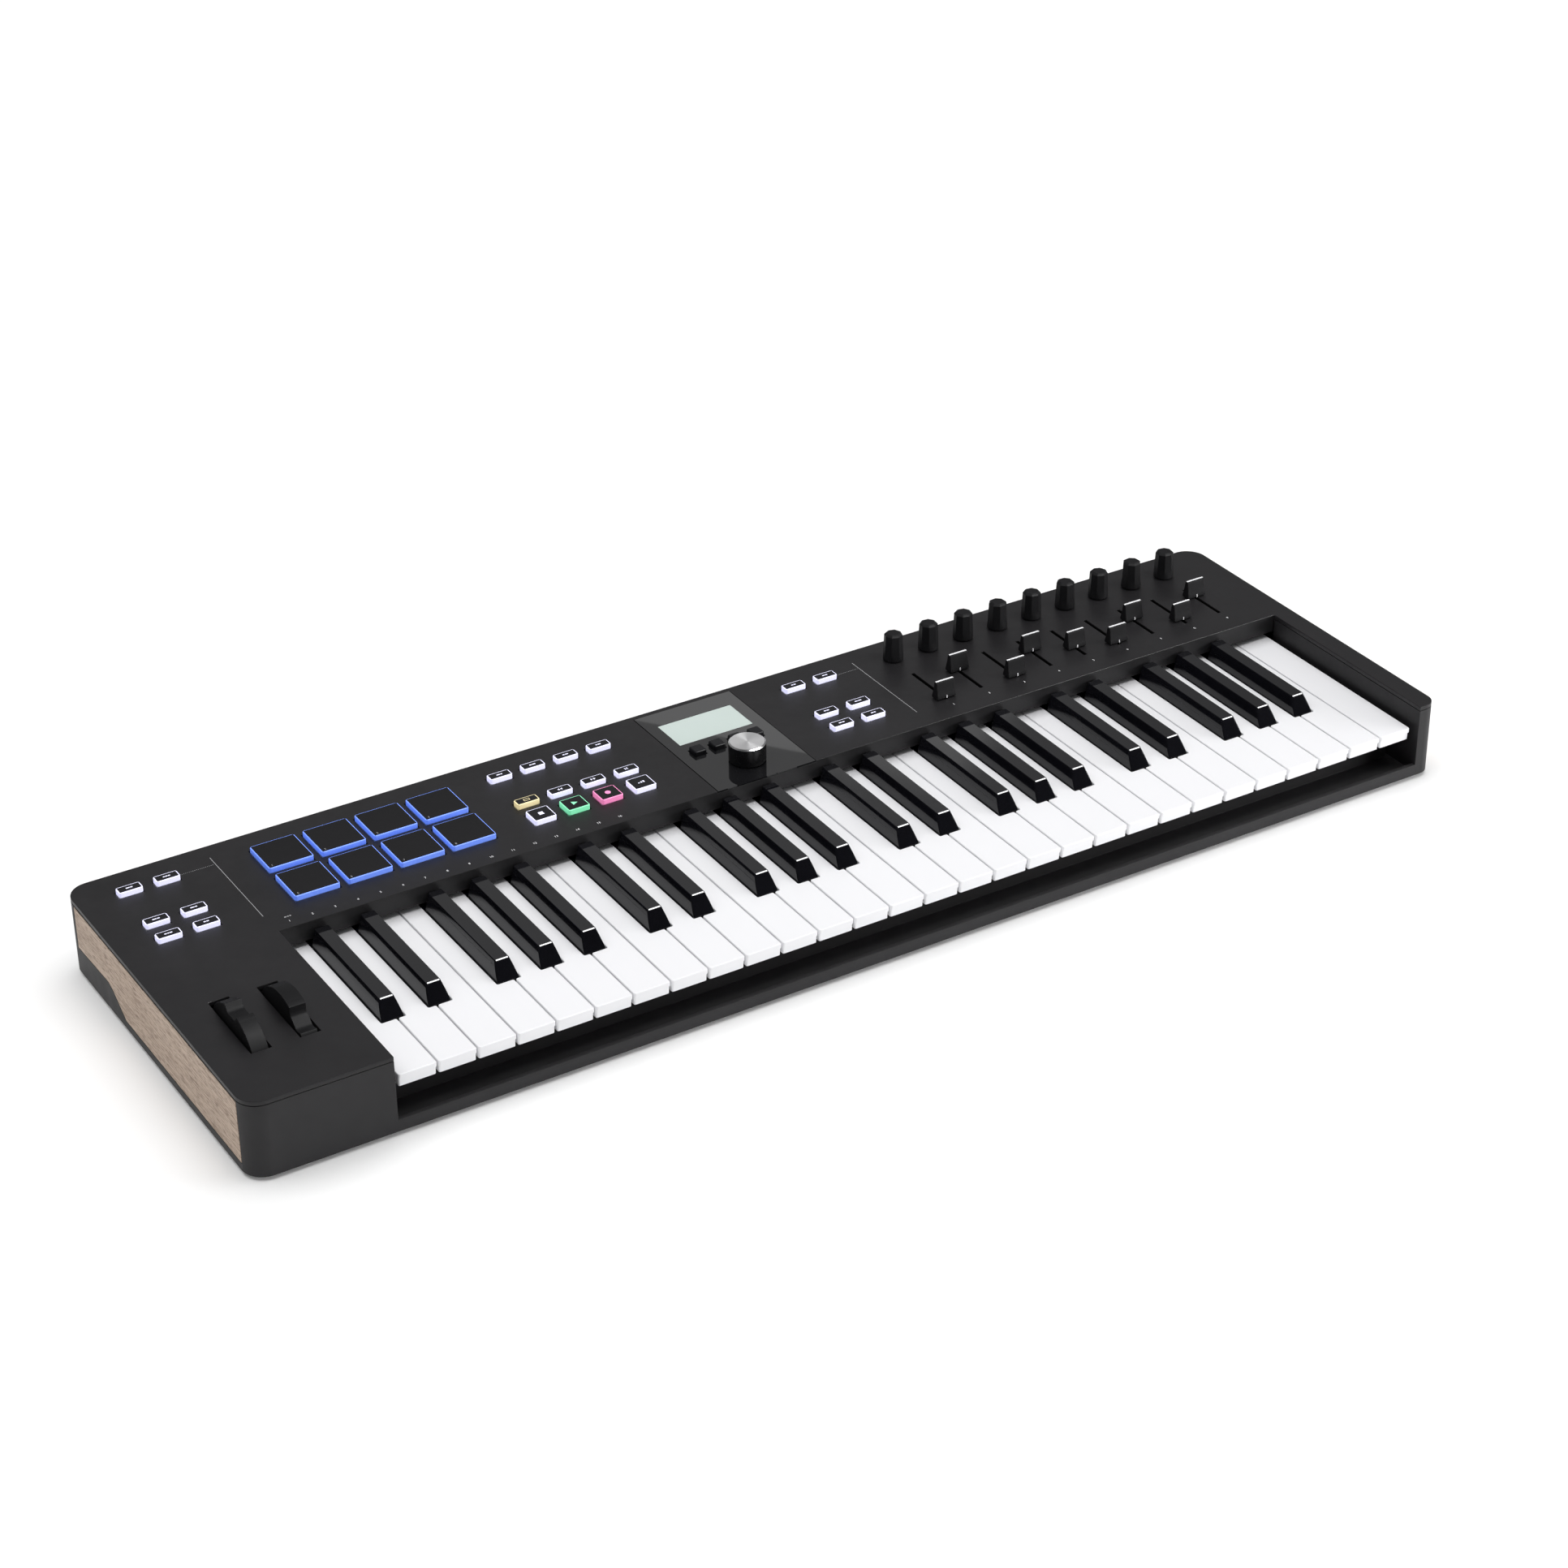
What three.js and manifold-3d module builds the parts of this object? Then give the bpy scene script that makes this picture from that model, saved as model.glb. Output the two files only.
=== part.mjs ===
// MIDI controller keyboard: 49 keys, two wheels, pads, buttons, knobs and faders on a shallow moulded case.
// Millimetres, +X towards the treble end, +Y towards the rear, +Z up, origin at the middle of the footprint.
import * as THREE from 'three';
import { mergeVertices } from 'three/addons/utils/BufferGeometryUtils.js';
import Module from 'manifold-3d';

const wasm = await Module();
wasm.setup();

// ---------------------------------------------------------------- driving dimensions
const GAP = 0.3;                  // air between pieces that touch

// case
const CASE_WIDTH = 784.7;
const CASE_DEPTH = 244;
const FOOT_HEIGHT = 2.5;
const DECK_Z = 50.1;              // top face of the control deck
const PLATE_THICKNESS = 2.7;
const CORNER_RADIUS = 13;
const FRONT_RIGHT_RADIUS = 8.5;    // the narrow treble end has a tighter front corner
const SIDE_WALL = 5;
const END_WALL = 3;               // front and rear walls
const INNER_CORNER_RADIUS = 9;
const FLOOR_TOP = 5;
const LIP_TOP = 9.9;              // low front wall below the keys
const WALL_TOP = DECK_Z - PLATE_THICKNESS - GAP;
const KEYBED_WALL = 3;            // uprights at both ends of the keys
const DECK_FLANGE = { thickness: 3, bottom: 38.3 };
const STOP_RAIL = { front: -98, rear: -88, top: 17.6 };

// keys
const WHITE_PITCH = 23.5;
const WHITE_COUNT = 29;
const WHITE_GAP = 1;
const KEYBED_LEFT = -308.35;
const KEYBED_MARGIN = 2.89;
const KEYBED_RIGHT = KEYBED_LEFT + 2 * KEYBED_MARGIN + WHITE_COUNT * WHITE_PITCH;
const KEYBED_REAR = 18.9;
const KEY_FRONT = -118.3;
const WHITE_TOP = 35;
const WHITE_BOTTOM = 27.2;
const WHITE_LIP_BOTTOM = 32;      // underside of the small overhang along the front edge
const WHITE_LIP_REACH = 0.9;
const WHITE_REAR = 62.4;
const HINGE_Y = 63;
const HINGE_Z = 28;
const BLACK_FRONT = -69.7;
const BLACK_BASE_WIDTH = 13.2;
const BLACK_TOP_WIDTH = 8.5;
const BLACK_TOP = 45.2;
const BLACK_FRONT_RUN = 6.7;      // how far the sloping front leans back
const BLACK_REAR = 17.4;
const BLACK_BOTTOM = 27.4;
const BLACK_ARM_TOP = 34;
const BLACK_CLEARANCE = 0.7;
const BLACK_CUT_GAP = 0.9;        // air in front of a black key, in the white keys
const KEY_WALL = 2;               // moulded shell of the hollow white keys
const KEY_ROOF = 2.4;
const COMB_RAIL = { front: 65, rear: 71, top: 32 };

// controls on the deck
const CONTROL_HEIGHT = 3;         // buttons and pads above the deck
const MAT_TOP = 45.6;             // upper face of the rubber mats under the deck
const MAT_BOTTOM = 43.6;
const HOLE_CLEARANCE = 0.45;
const STEM_DEPTH = 6;             // shafts and stems reach this far below the deck
const WHEEL = { y: -53.5, z: 32.1, radius: 30, width: 9.6, sector: 100, hub: 12, axle: 3, stub: 3 };
const WHEEL_SCOOP = { edge: 15, floor: 8, depth: 4.6 };   // degrees, degrees, mm
const WHEEL_SLOT = { front: -80, rear: -25, width: 11.8 };
const PITCH_WHEEL_X = -363.75;
const MOD_WHEEL_X = -335.75;
const MOD_WHEEL_TURN = 38;        // degrees forward of the centred position, at rest
const KNOB = { y: 99, height: 18.5, base: 6.4, top: 5.4, bevel: 1.2, sides: 10, shaft: 3 };
const FIRST_KNOB_X = 143.65;      // knobs and faders share nine columns
const KNOB_PITCH = 26;
const FADER_SLOT = { front: 40, rear: 77.3, width: 2.2 };
const FADER_REST_Y = [42.6, 66.7, 42.2, 63.1, 52.1, 43.7, 62.8, 46.5, 66.7];
const FADER_CAP = { width: 13.8, depth: 6.4, topDepth: 2.2, height: 12 };
const ENCODER = { x: 3.6, y: 41.4, radius: 11.2, height: 12.7, bevel: 0.8, shaft: 3.4 };
const SCREEN = { left: -21.8, right: 28.7, front: 76.6, rear: 103.5 };
const WINDOW = { left: -30, right: 37.2, rear: 118.6, depth: 1 };   // shallow seat of the display window

// pads: four columns, two rows
const PAD_SIZE = 27.5;
const PAD_COLUMNS = [-287.85, -255.25, -222.65, -190.05];
const PAD_ROWS = [41.7, 75.9];

// ---------------------------------------------------------------- solids
function toSolid(geometry) {
  const bare = geometry.index ? geometry.toNonIndexed() : geometry.clone();
  bare.deleteAttribute('normal');
  bare.deleteAttribute('uv');
  const merged = mergeVertices(bare, 1e-4);
  const vertProperties = new Float32Array(merged.attributes.position.array);
  const triVerts = new Uint32Array(merged.index.array);
  return new wasm.Manifold(new wasm.Mesh({ numProp: 3, vertProperties, triVerts }));
}

function toGeometry(solid) {
  const mesh = solid.getMesh();
  const geometry = new THREE.BufferGeometry();
  geometry.setAttribute('position', new THREE.BufferAttribute(new Float32Array(mesh.vertProperties), 3));
  geometry.setIndex(new THREE.BufferAttribute(new Uint32Array(mesh.triVerts), 1));
  geometry.computeVertexNormals();
  return geometry;
}

function join(solids) {
  return solids.reduce((sum, solid) => sum.add(solid));
}

// Box between two corners.
function box(x0, x1, y0, y1, z0, z1) {
  const geometry = new THREE.BoxGeometry(x1 - x0, y1 - y0, z1 - z0);
  geometry.translate((x0 + x1) / 2, (y0 + y1) / 2, (z0 + z1) / 2);
  return toSolid(geometry);
}

// Block whose lower rectangle and upper rectangle differ: [x0, x1, y0, y1] each.
function taperedBlock(lower, upper, z0, z1) {
  const geometry = new THREE.BoxGeometry(1, 1, 1);
  const position = geometry.attributes.position;
  for (let i = 0; i < position.count; i += 1) {
    const high = position.getZ(i) > 0;
    const rectangle = high ? upper : lower;
    const x = position.getX(i) > 0 ? rectangle[1] : rectangle[0];
    const y = position.getY(i) > 0 ? rectangle[3] : rectangle[2];
    position.setXYZ(i, x, y, high ? z1 : z0);
  }
  return toSolid(geometry);
}

// Rectangle with rounded corners; the front right corner may differ.
function roundedOutline(x0, x1, y0, y1, radius, frontRight = radius) {
  const outline = new THREE.Shape();
  outline.moveTo(x0 + radius, y0);
  outline.lineTo(x1 - frontRight, y0);
  outline.absarc(x1 - frontRight, y0 + frontRight, frontRight, -Math.PI / 2, 0);
  outline.lineTo(x1, y1 - radius);
  outline.absarc(x1 - radius, y1 - radius, radius, 0, Math.PI / 2);
  outline.lineTo(x0 + radius, y1);
  outline.absarc(x0 + radius, y1 - radius, radius, Math.PI / 2, Math.PI);
  outline.lineTo(x0, y0 + radius);
  outline.absarc(x0 + radius, y0 + radius, radius, Math.PI, Math.PI * 1.5);
  return outline;
}

function caseOutline() {
  const halfWidth = CASE_WIDTH / 2;
  const halfDepth = CASE_DEPTH / 2;
  return roundedOutline(-halfWidth, halfWidth, -halfDepth, halfDepth, CORNER_RADIUS, FRONT_RIGHT_RADIUS);
}

function polygonOutline(points) {
  return new THREE.Shape().setFromPoints(points.map(([u, v]) => new THREE.Vector2(u, v)));
}

// Extrude an outline drawn in X and Y upwards.
function extrudeUp(shape, z0, z1, curveSegments = 4) {
  const geometry = new THREE.ExtrudeGeometry(shape, { depth: z1 - z0, bevelEnabled: false, curveSegments });
  geometry.translate(0, 0, z0);
  return toSolid(geometry);
}

// Extrude an outline drawn in Y and Z towards +X.
function extrudeAcross(shape, x0, x1, curveSegments = 12) {
  const geometry = new THREE.ExtrudeGeometry(shape, { depth: x1 - x0, bevelEnabled: false, curveSegments });
  const basis = new THREE.Matrix4().makeBasis(
    new THREE.Vector3(0, 1, 0), new THREE.Vector3(0, 0, 1), new THREE.Vector3(1, 0, 0));
  geometry.applyMatrix4(basis);
  geometry.translate(x0, 0, 0);
  return toSolid(geometry);
}

function uprightCylinder(x, y, radius, z0, z1, sides, topRadius = radius) {
  const geometry = new THREE.CylinderGeometry(topRadius, radius, z1 - z0, sides);
  geometry.rotateX(Math.PI / 2);
  geometry.translate(x, y, (z0 + z1) / 2);
  return toSolid(geometry);
}

// Cylinder along X.
function crossCylinder(x0, x1, y, z, radius, sides) {
  const geometry = new THREE.CylinderGeometry(radius, radius, x1 - x0, sides);
  geometry.rotateZ(-Math.PI / 2);
  geometry.translate((x0 + x1) / 2, y, z);
  return toSolid(geometry);
}

// Cylinder along Y.
function depthCylinder(x, z, radius, y0, y1, sides) {
  const geometry = new THREE.CylinderGeometry(radius, radius, y1 - y0, sides);
  geometry.translate(x, (y0 + y1) / 2, z);
  return toSolid(geometry);
}

// ---------------------------------------------------------------- control positions
// Each button is { x, y, width, depth }, from its front left corner.
function buttonGrid(columns, rows, width, depth) {
  return rows.flatMap((y) => columns.map((x) => ({ x, y, width, depth })));
}

const LEFT_COLUMNS = [-369.15, -346.85];
const MIDDLE_COLUMNS = [-137.65, -115.85, -93.85, -71.75];
const RIGHT_COLUMNS = [64.35, 86.85];
const SCREEN_COLUMNS = [-20.75, -7.45, 5.75, 18.95];
const SIDE_ROWS = [41.5, 58.5, 96.3];
const SMALL_BUTTON = { width: 14.3, depth: 6.6 };

const BUTTONS = [
  ...buttonGrid(LEFT_COLUMNS, SIDE_ROWS, SMALL_BUTTON.width, SMALL_BUTTON.depth),
  ...buttonGrid(MIDDLE_COLUMNS, [62.6, 96.3], SMALL_BUTTON.width, SMALL_BUTTON.depth),
  ...buttonGrid(MIDDLE_COLUMNS, [41.5], 14, 13),
  ...buttonGrid(SCREEN_COLUMNS, [60.3], 7.9, 8.4),
  ...buttonGrid(RIGHT_COLUMNS, SIDE_ROWS, SMALL_BUTTON.width, SMALL_BUTTON.depth),
];

const PADS = PAD_ROWS.flatMap((y) => PAD_COLUMNS.map((x) => ({ x, y, width: PAD_SIZE, depth: PAD_SIZE })));

const knobX = (index) => FIRST_KNOB_X + index * KNOB_PITCH;

// ---------------------------------------------------------------- keys
// Black keys of one octave: the white boundary each sits on, and its shift from it.
const BLACK_PLACES = [
  { boundary: 1, shift: -2.2 },
  { boundary: 2, shift: 2.2 },
  { boundary: 4, shift: -3.3 },
  { boundary: 5, shift: 0 },
  { boundary: 6, shift: 3.3 },
];
const OCTAVE = 7;

function whiteBoundary(index) {
  return KEYBED_LEFT + KEYBED_MARGIN + index * WHITE_PITCH;
}

// X centre of the black key over a white boundary, or null where there is none.
function blackCentreAt(boundary) {
  if (boundary <= 0 || boundary >= WHITE_COUNT - 1) {
    return null;
  }
  const place = BLACK_PLACES.find((one) => one.boundary === boundary % OCTAVE);
  return place ? whiteBoundary(boundary) + place.shift : null;
}

function whiteKey(index) {
  const left = whiteBoundary(index) + WHITE_GAP / 2;
  const right = whiteBoundary(index + 1) - WHITE_GAP / 2;
  const notch = BLACK_BASE_WIDTH / 2 + BLACK_CLEARANCE;
  const blackLeft = blackCentreAt(index);
  const blackRight = blackCentreAt(index + 1);
  const stemLeft = blackLeft === null ? left : blackLeft + notch;
  const stemRight = blackRight === null ? right : blackRight - notch;
  const notchFront = BLACK_FRONT - BLACK_CUT_GAP;
  const body = (front, z0, z1) => join([
    box(left, right, front, notchFront, z0, z1),
    box(stemLeft, stemRight, notchFront - 1, WHITE_REAR, z0, z1),
  ]);
  const wall = KEY_WALL;
  const roof = WHITE_TOP - KEY_ROOF;
  const hollow = (x0, x1, y0, y1) => box(x0 + wall, x1 - wall, y0, y1, WHITE_BOTTOM - 1, roof);
  const pocket = join([
    hollow(left, right, KEY_FRONT + WHITE_LIP_REACH + wall, notchFront - wall),
    hollow(stemLeft, stemRight, notchFront - 2 * wall, BLACK_REAR - 2 * wall),
  ]);
  return body(KEY_FRONT, WHITE_LIP_BOTTOM, WHITE_TOP)
    .add(body(KEY_FRONT + WHITE_LIP_REACH, WHITE_BOTTOM, WHITE_LIP_BOTTOM))
    .subtract(pocket);
}

function blackKey(centre) {
  const half = BLACK_BASE_WIDTH / 2;
  const topHalf = BLACK_TOP_WIDTH / 2;
  const base = [centre - half, centre + half, BLACK_FRONT, BLACK_REAR];
  const top = [centre - topHalf, centre + topHalf, BLACK_FRONT + BLACK_FRONT_RUN, BLACK_REAR];
  return join([
    taperedBlock(base, top, WHITE_TOP, BLACK_TOP),
    box(base[0], base[1], base[2], base[3], BLACK_BOTTOM, WHITE_TOP),
    box(base[0], base[1], base[3] - 1, COMB_RAIL.front + 1, BLACK_BOTTOM, BLACK_ARM_TOP),
  ]);
}

// Five black keys moulded on one rail behind the hinge line.
function blackComb(octave) {
  const start = whiteBoundary(octave * OCTAVE);
  const end = whiteBoundary((octave + 1) * OCTAVE);
  const keys = BLACK_PLACES.map((place) => blackKey(start + place.boundary * WHITE_PITCH + place.shift));
  const rail = box(start + 0.5, end - 0.5, COMB_RAIL.front, COMB_RAIL.rear, BLACK_BOTTOM, COMB_RAIL.top);
  return join([rail, ...keys]);
}

// ---------------------------------------------------------------- wheels
// Side view in Y and Z about the axle: a broad sector with a finger scoop, narrowing to the hub.
function wheelOutline() {
  const { radius, sector, hub } = WHEEL;
  const { edge, floor, depth } = WHEEL_SCOOP;
  const step = (sector - edge) / 10;
  const at = (degrees, r) => {
    const angle = THREE.MathUtils.degToRad(degrees);
    return [r * Math.sin(angle), r * Math.cos(angle)];
  };
  const points = [];
  for (let k = 0; k < 10; k += 1) {
    points.push(at(sector - k * step, radius));
  }
  points.push(at(edge, radius), at(floor, radius - depth), at(-floor, radius - depth), at(-edge, radius));
  for (let k = 1; k <= 10; k += 1) {
    points.push(at(-edge - k * step, radius));
  }
  points.push(at(-135, hub), at(180, hub), at(135, hub));
  return polygonOutline(points);
}

function wheel(x, turn) {
  const half = WHEEL.width / 2;
  const disc = extrudeAcross(wheelOutline(), -half, half);
  const axle = crossCylinder(-half - WHEEL.stub, half + WHEEL.stub, 0, 0, WHEEL.axle, 12);
  return disc.add(axle).rotate([turn, 0, 0]).translate([x, WHEEL.y, WHEEL.z]);
}

// Two uprights with open notches that the axle lies in.
function wheelBracket(x) {
  const half = WHEEL.width / 2;
  const near = half + 0.7;
  const far = near + 3;
  const notch = WHEEL.axle + GAP;
  const top = WHEEL.z + WHEEL.axle;
  const uprights = [
    box(x - far, x - near, WHEEL.y - 8, WHEEL.y + 8, FLOOR_TOP - 1, top),
    box(x + near, x + far, WHEEL.y - 8, WHEEL.y + 8, FLOOR_TOP - 1, top),
  ];
  const slot = box(x - far - 1, x + far + 1, WHEEL.y - notch, WHEEL.y + notch, WHEEL.z - notch, top + 1);
  return join(uprights).subtract(slot);
}

// ---------------------------------------------------------------- case
// Side view of the wooden end panel in Y and Z, grown by `margin` for its pocket.
function sidePanelOutline(margin) {
  const m = margin;
  return polygonOutline([
    [-110 - m, 8 - m], [42 + m, 8 - m], [59 + m, 19.2 - m], [64 + m, 21 - m],
    [107.5 + m, 19.5 - m], [107.5 + m, 46.2 + Math.min(m, 0.4)], [-110 - m, 46.2 + Math.min(m, 0.4)],
  ]);
}

const SIDE_PANEL_THICKNESS = 2.2;

function sidePanel(side) {
  const outer = side * CASE_WIDTH / 2;
  const inner = outer - side * SIDE_PANEL_THICKNESS;
  return extrudeAcross(sidePanelOutline(0), Math.min(outer, inner), Math.max(outer, inner));
}

function sidePocket(side) {
  const outer = side * (CASE_WIDTH / 2 + 1);
  const inner = side * (CASE_WIDTH / 2 - SIDE_PANEL_THICKNESS - GAP);
  return extrudeAcross(sidePanelOutline(GAP), Math.min(outer, inner), Math.max(outer, inner));
}

const FOOT_RADIUS = 8;
const FOOT_PLACES = [[-360, -98], [-360, 98], [0, -98], [0, 98], [360, -98], [360, 98]];

function feet() {
  return FOOT_PLACES.map(([x, y]) => uprightCylinder(x, y, FOOT_RADIUS, 0, FOOT_HEIGHT + 0.5, 16));
}

// Hollow posts that the top panel screws down to, from below.
const BOSS = { radius: 3, hole: 1.5, headRadius: 3.4, headDepth: 1.2 };
const BOSS_PLACES = [[-345, 116.6], [-200, 116.6], [-50, 116.6], [50, 116.6], [200, 116.6], [345, 116.6],
  [-378, -60], [-378, 40], [-320, -112]];

function screwBosses() {
  return BOSS_PLACES.map(([x, y]) => uprightCylinder(x, y, BOSS.radius, FLOOR_TOP - 1, WALL_TOP, 12));
}

function screwHoles() {
  return BOSS_PLACES.flatMap(([x, y]) => [
    uprightCylinder(x, y, BOSS.hole, FOOT_HEIGHT - 1, DECK_Z, 8),
    uprightCylinder(x, y, BOSS.headRadius, FOOT_HEIGHT - 1, FOOT_HEIGHT + BOSS.headDepth, 16),
  ]);
}

const SOCKETS = {
  z: 26,
  jackX: -300,
  jackRadius: 5.6,
  midiX: -330,
  midiRadius: 7.8,
  usbX: -358,
  usbWidth: 9.6,
  usbHeight: 4.6,
};

function socketHoles() {
  const front = CASE_DEPTH / 2 - END_WALL - 1;
  const rear = CASE_DEPTH / 2 + 1;
  const usbHalf = SOCKETS.usbWidth / 2;
  const usbTop = SOCKETS.z + SOCKETS.usbHeight / 2;
  return join([
    depthCylinder(SOCKETS.jackX, SOCKETS.z, SOCKETS.jackRadius, front, rear, 16),
    depthCylinder(SOCKETS.midiX, SOCKETS.z, SOCKETS.midiRadius, front, rear, 20),
    box(SOCKETS.usbX - usbHalf, SOCKETS.usbX + usbHalf, front, rear, usbTop - SOCKETS.usbHeight, usbTop),
  ]);
}

function bottomCase() {
  const innerX = CASE_WIDTH / 2 - SIDE_WALL;
  const innerY = CASE_DEPTH / 2 - END_WALL;
  const front = -CASE_DEPTH / 2;
  const footing = FLOOR_TOP - 1;
  const shell = extrudeUp(caseOutline(), FOOT_HEIGHT, WALL_TOP, 6);
  const cavity = extrudeUp(
    roundedOutline(-innerX, innerX, -innerY, innerY, INNER_CORNER_RADIUS), FLOOR_TOP, DECK_Z, 4);
  const frontCut = box(KEYBED_LEFT, KEYBED_RIGHT, front - 1, 1 - innerY, LIP_TOP, DECK_Z);
  const keybedSides = [
    box(KEYBED_LEFT - KEYBED_WALL, KEYBED_LEFT, front + 1, KEYBED_REAR, footing, WALL_TOP),
    box(KEYBED_RIGHT, KEYBED_RIGHT + KEYBED_WALL, front + 1, KEYBED_REAR, footing, WALL_TOP),
  ];
  const rail = (y0, y1, top) => box(whiteBoundary(0), whiteBoundary(WHITE_COUNT), y0, y1, footing, top);
  const fulcrumRail = rail(HINGE_Y - 6, HINGE_Y + 4, WHITE_BOTTOM - 0.7);
  const stopRail = rail(STOP_RAIL.front, STOP_RAIL.rear, STOP_RAIL.top);
  return shell
    .subtract(cavity)
    .subtract(frontCut)
    .add(join([...keybedSides, fulcrumRail, stopRail, ...feet(), ...screwBosses()]))
    .add(join([wheelBracket(PITCH_WHEEL_X), wheelBracket(MOD_WHEEL_X)]))
    .subtract(join([socketHoles(), sidePocket(-1), sidePocket(1), ...screwHoles()]));
}

// Everything cut into the deck: buttons, pads, wheels, fader stems, shafts, the screen and its window.
function deckCutters() {
  const low = DECK_Z - PLATE_THICKNESS - 1;
  const high = DECK_Z + 1;
  const c = HOLE_CLEARANCE;
  const cutters = [...BUTTONS, ...PADS].map(
    ({ x, y, width, depth }) => box(x - c, x + width + c, y - c, y + depth + c, low, high));
  const slot = (x, width, front, rear) => box(x - width / 2, x + width / 2, front, rear, low, high);
  for (const x of [PITCH_WHEEL_X, MOD_WHEEL_X]) {
    cutters.push(slot(x, WHEEL_SLOT.width, WHEEL_SLOT.front, WHEEL_SLOT.rear));
  }
  for (let index = 0; index < FADER_REST_Y.length; index += 1) {
    cutters.push(slot(knobX(index), FADER_SLOT.width, FADER_SLOT.front, FADER_SLOT.rear));
    cutters.push(uprightCylinder(knobX(index), KNOB.y, KNOB.shaft + 0.5, low, high, 12));
  }
  cutters.push(uprightCylinder(ENCODER.x, ENCODER.y, ENCODER.shaft + 0.5, low, high, 12));
  cutters.push(box(SCREEN.left, SCREEN.right, SCREEN.front, SCREEN.rear, low, high));
  cutters.push(box(WINDOW.left, WINDOW.right, KEYBED_REAR - 1, WINDOW.rear, DECK_Z - WINDOW.depth, high));
  return join(cutters);
}

function topPanel() {
  const keybed = box(KEYBED_LEFT, KEYBED_RIGHT, -CASE_DEPTH / 2 - 1, KEYBED_REAR, 0, DECK_Z + 1);
  const plate = extrudeUp(caseOutline(), DECK_Z - PLATE_THICKNESS, DECK_Z, 6).subtract(keybed);
  const flangeRear = KEYBED_REAR + DECK_FLANGE.thickness;
  const flange = box(KEYBED_LEFT, KEYBED_RIGHT, KEYBED_REAR, flangeRear, DECK_FLANGE.bottom, DECK_Z - 1);
  return plate.add(flange).subtract(deckCutters());
}

// ---------------------------------------------------------------- controls
function cap({ x, y, width, depth }, bevel) {
  const lower = [x, x + width, y, y + depth];
  const upper = [x + bevel, x + width - bevel, y + bevel, y + depth - bevel];
  const shoulder = DECK_Z + CONTROL_HEIGHT - 1;
  return join([
    box(...lower, MAT_TOP - 0.5, shoulder),
    taperedBlock(lower, upper, shoulder, DECK_Z + CONTROL_HEIGHT),
  ]);
}

function padMat() {
  const last = PAD_COLUMNS.length - 1;
  const mat = box(PAD_COLUMNS[0] - 2, PAD_COLUMNS[last] + PAD_SIZE + 2, PAD_ROWS[0] - 2,
    PAD_ROWS[1] + PAD_SIZE + 2, MAT_BOTTOM, MAT_TOP);
  return join([mat, ...PADS.map((pad) => cap(pad, 0.8))]);
}

// The button mat's webs: one long strip behind the pads, and a tongue under each group.
function buttonMat() {
  const stripFront = 107;
  const stripRear = 112.4;
  const web = (x0, x1, y0, y1) => box(x0, x1, y0, y1, MAT_BOTTOM, MAT_TOP);
  const groups = [
    web(LEFT_COLUMNS[0] - 1, LEFT_COLUMNS[1] + 15.3, 40, stripRear),
    web(MIDDLE_COLUMNS[0] - 1, MIDDLE_COLUMNS[3] + 15.3, 40, stripRear),
    web(RIGHT_COLUMNS[0] - 1, RIGHT_COLUMNS[1] + 15.3, 40, stripRear),
    web(SCREEN_COLUMNS[0] - 1, RIGHT_COLUMNS[0], 60, 69),
    web(LEFT_COLUMNS[0] - 1, RIGHT_COLUMNS[1] + 15.3, stripFront, stripRear),
  ];
  return join([...groups, ...BUTTONS.map((button) => cap(button, 0.6))]);
}

function knob(index) {
  const x = knobX(index);
  const bottom = DECK_Z + 0.5;
  const top = DECK_Z + KNOB.height;
  return join([
    uprightCylinder(x, KNOB.y, KNOB.shaft, DECK_Z - STEM_DEPTH, bottom + 1, 10),
    uprightCylinder(x, KNOB.y, KNOB.base, bottom, top - KNOB.bevel, KNOB.sides, KNOB.top),
    uprightCylinder(x, KNOB.y, KNOB.top, top - KNOB.bevel, top, KNOB.sides, KNOB.top - KNOB.bevel),
  ]);
}

function encoderKnob() {
  const { x, y, radius, height, bevel, shaft } = ENCODER;
  const bottom = DECK_Z + 0.6;
  const top = DECK_Z + height;
  return join([
    uprightCylinder(x, y, shaft, DECK_Z - STEM_DEPTH, bottom + 1, 12),
    uprightCylinder(x, y, radius, bottom, top - bevel, 32),
    uprightCylinder(x, y, radius, top - bevel, top, 32, radius - bevel),
  ]);
}

function fader(index) {
  const x = knobX(index);
  const y = FADER_REST_Y[index];
  const { width, depth, topDepth, height } = FADER_CAP;
  const stemHalf = FADER_SLOT.width / 2 - 0.4;
  const bottom = DECK_Z + 0.6;
  const lower = [x - width / 2, x + width / 2, y - depth / 2, y + depth / 2];
  const upper = [x - width / 2 + 0.4, x + width / 2 - 0.4, y - topDepth / 2, y + topDepth / 2];
  return join([
    box(...lower, bottom, bottom + 1.4),
    taperedBlock(lower, upper, bottom + 1.4, DECK_Z + height),
    box(x - stemHalf, x + stemHalf, y - 1.5, y + 1.5, DECK_Z - STEM_DEPTH, bottom + 1),
    box(x - 3, x + 3, y - 3, y + 3, DECK_Z - 8, DECK_Z - 5),
  ]);
}

// ---------------------------------------------------------------- assembly
const keyboard = new THREE.Group();

function addPart(name, solid, color, roughness, metalness = 0) {
  const material = new THREE.MeshStandardMaterial({ color, roughness, metalness });
  const mesh = new THREE.Mesh(toGeometry(solid), material);
  mesh.name = name;
  keyboard.add(mesh);
}

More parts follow.
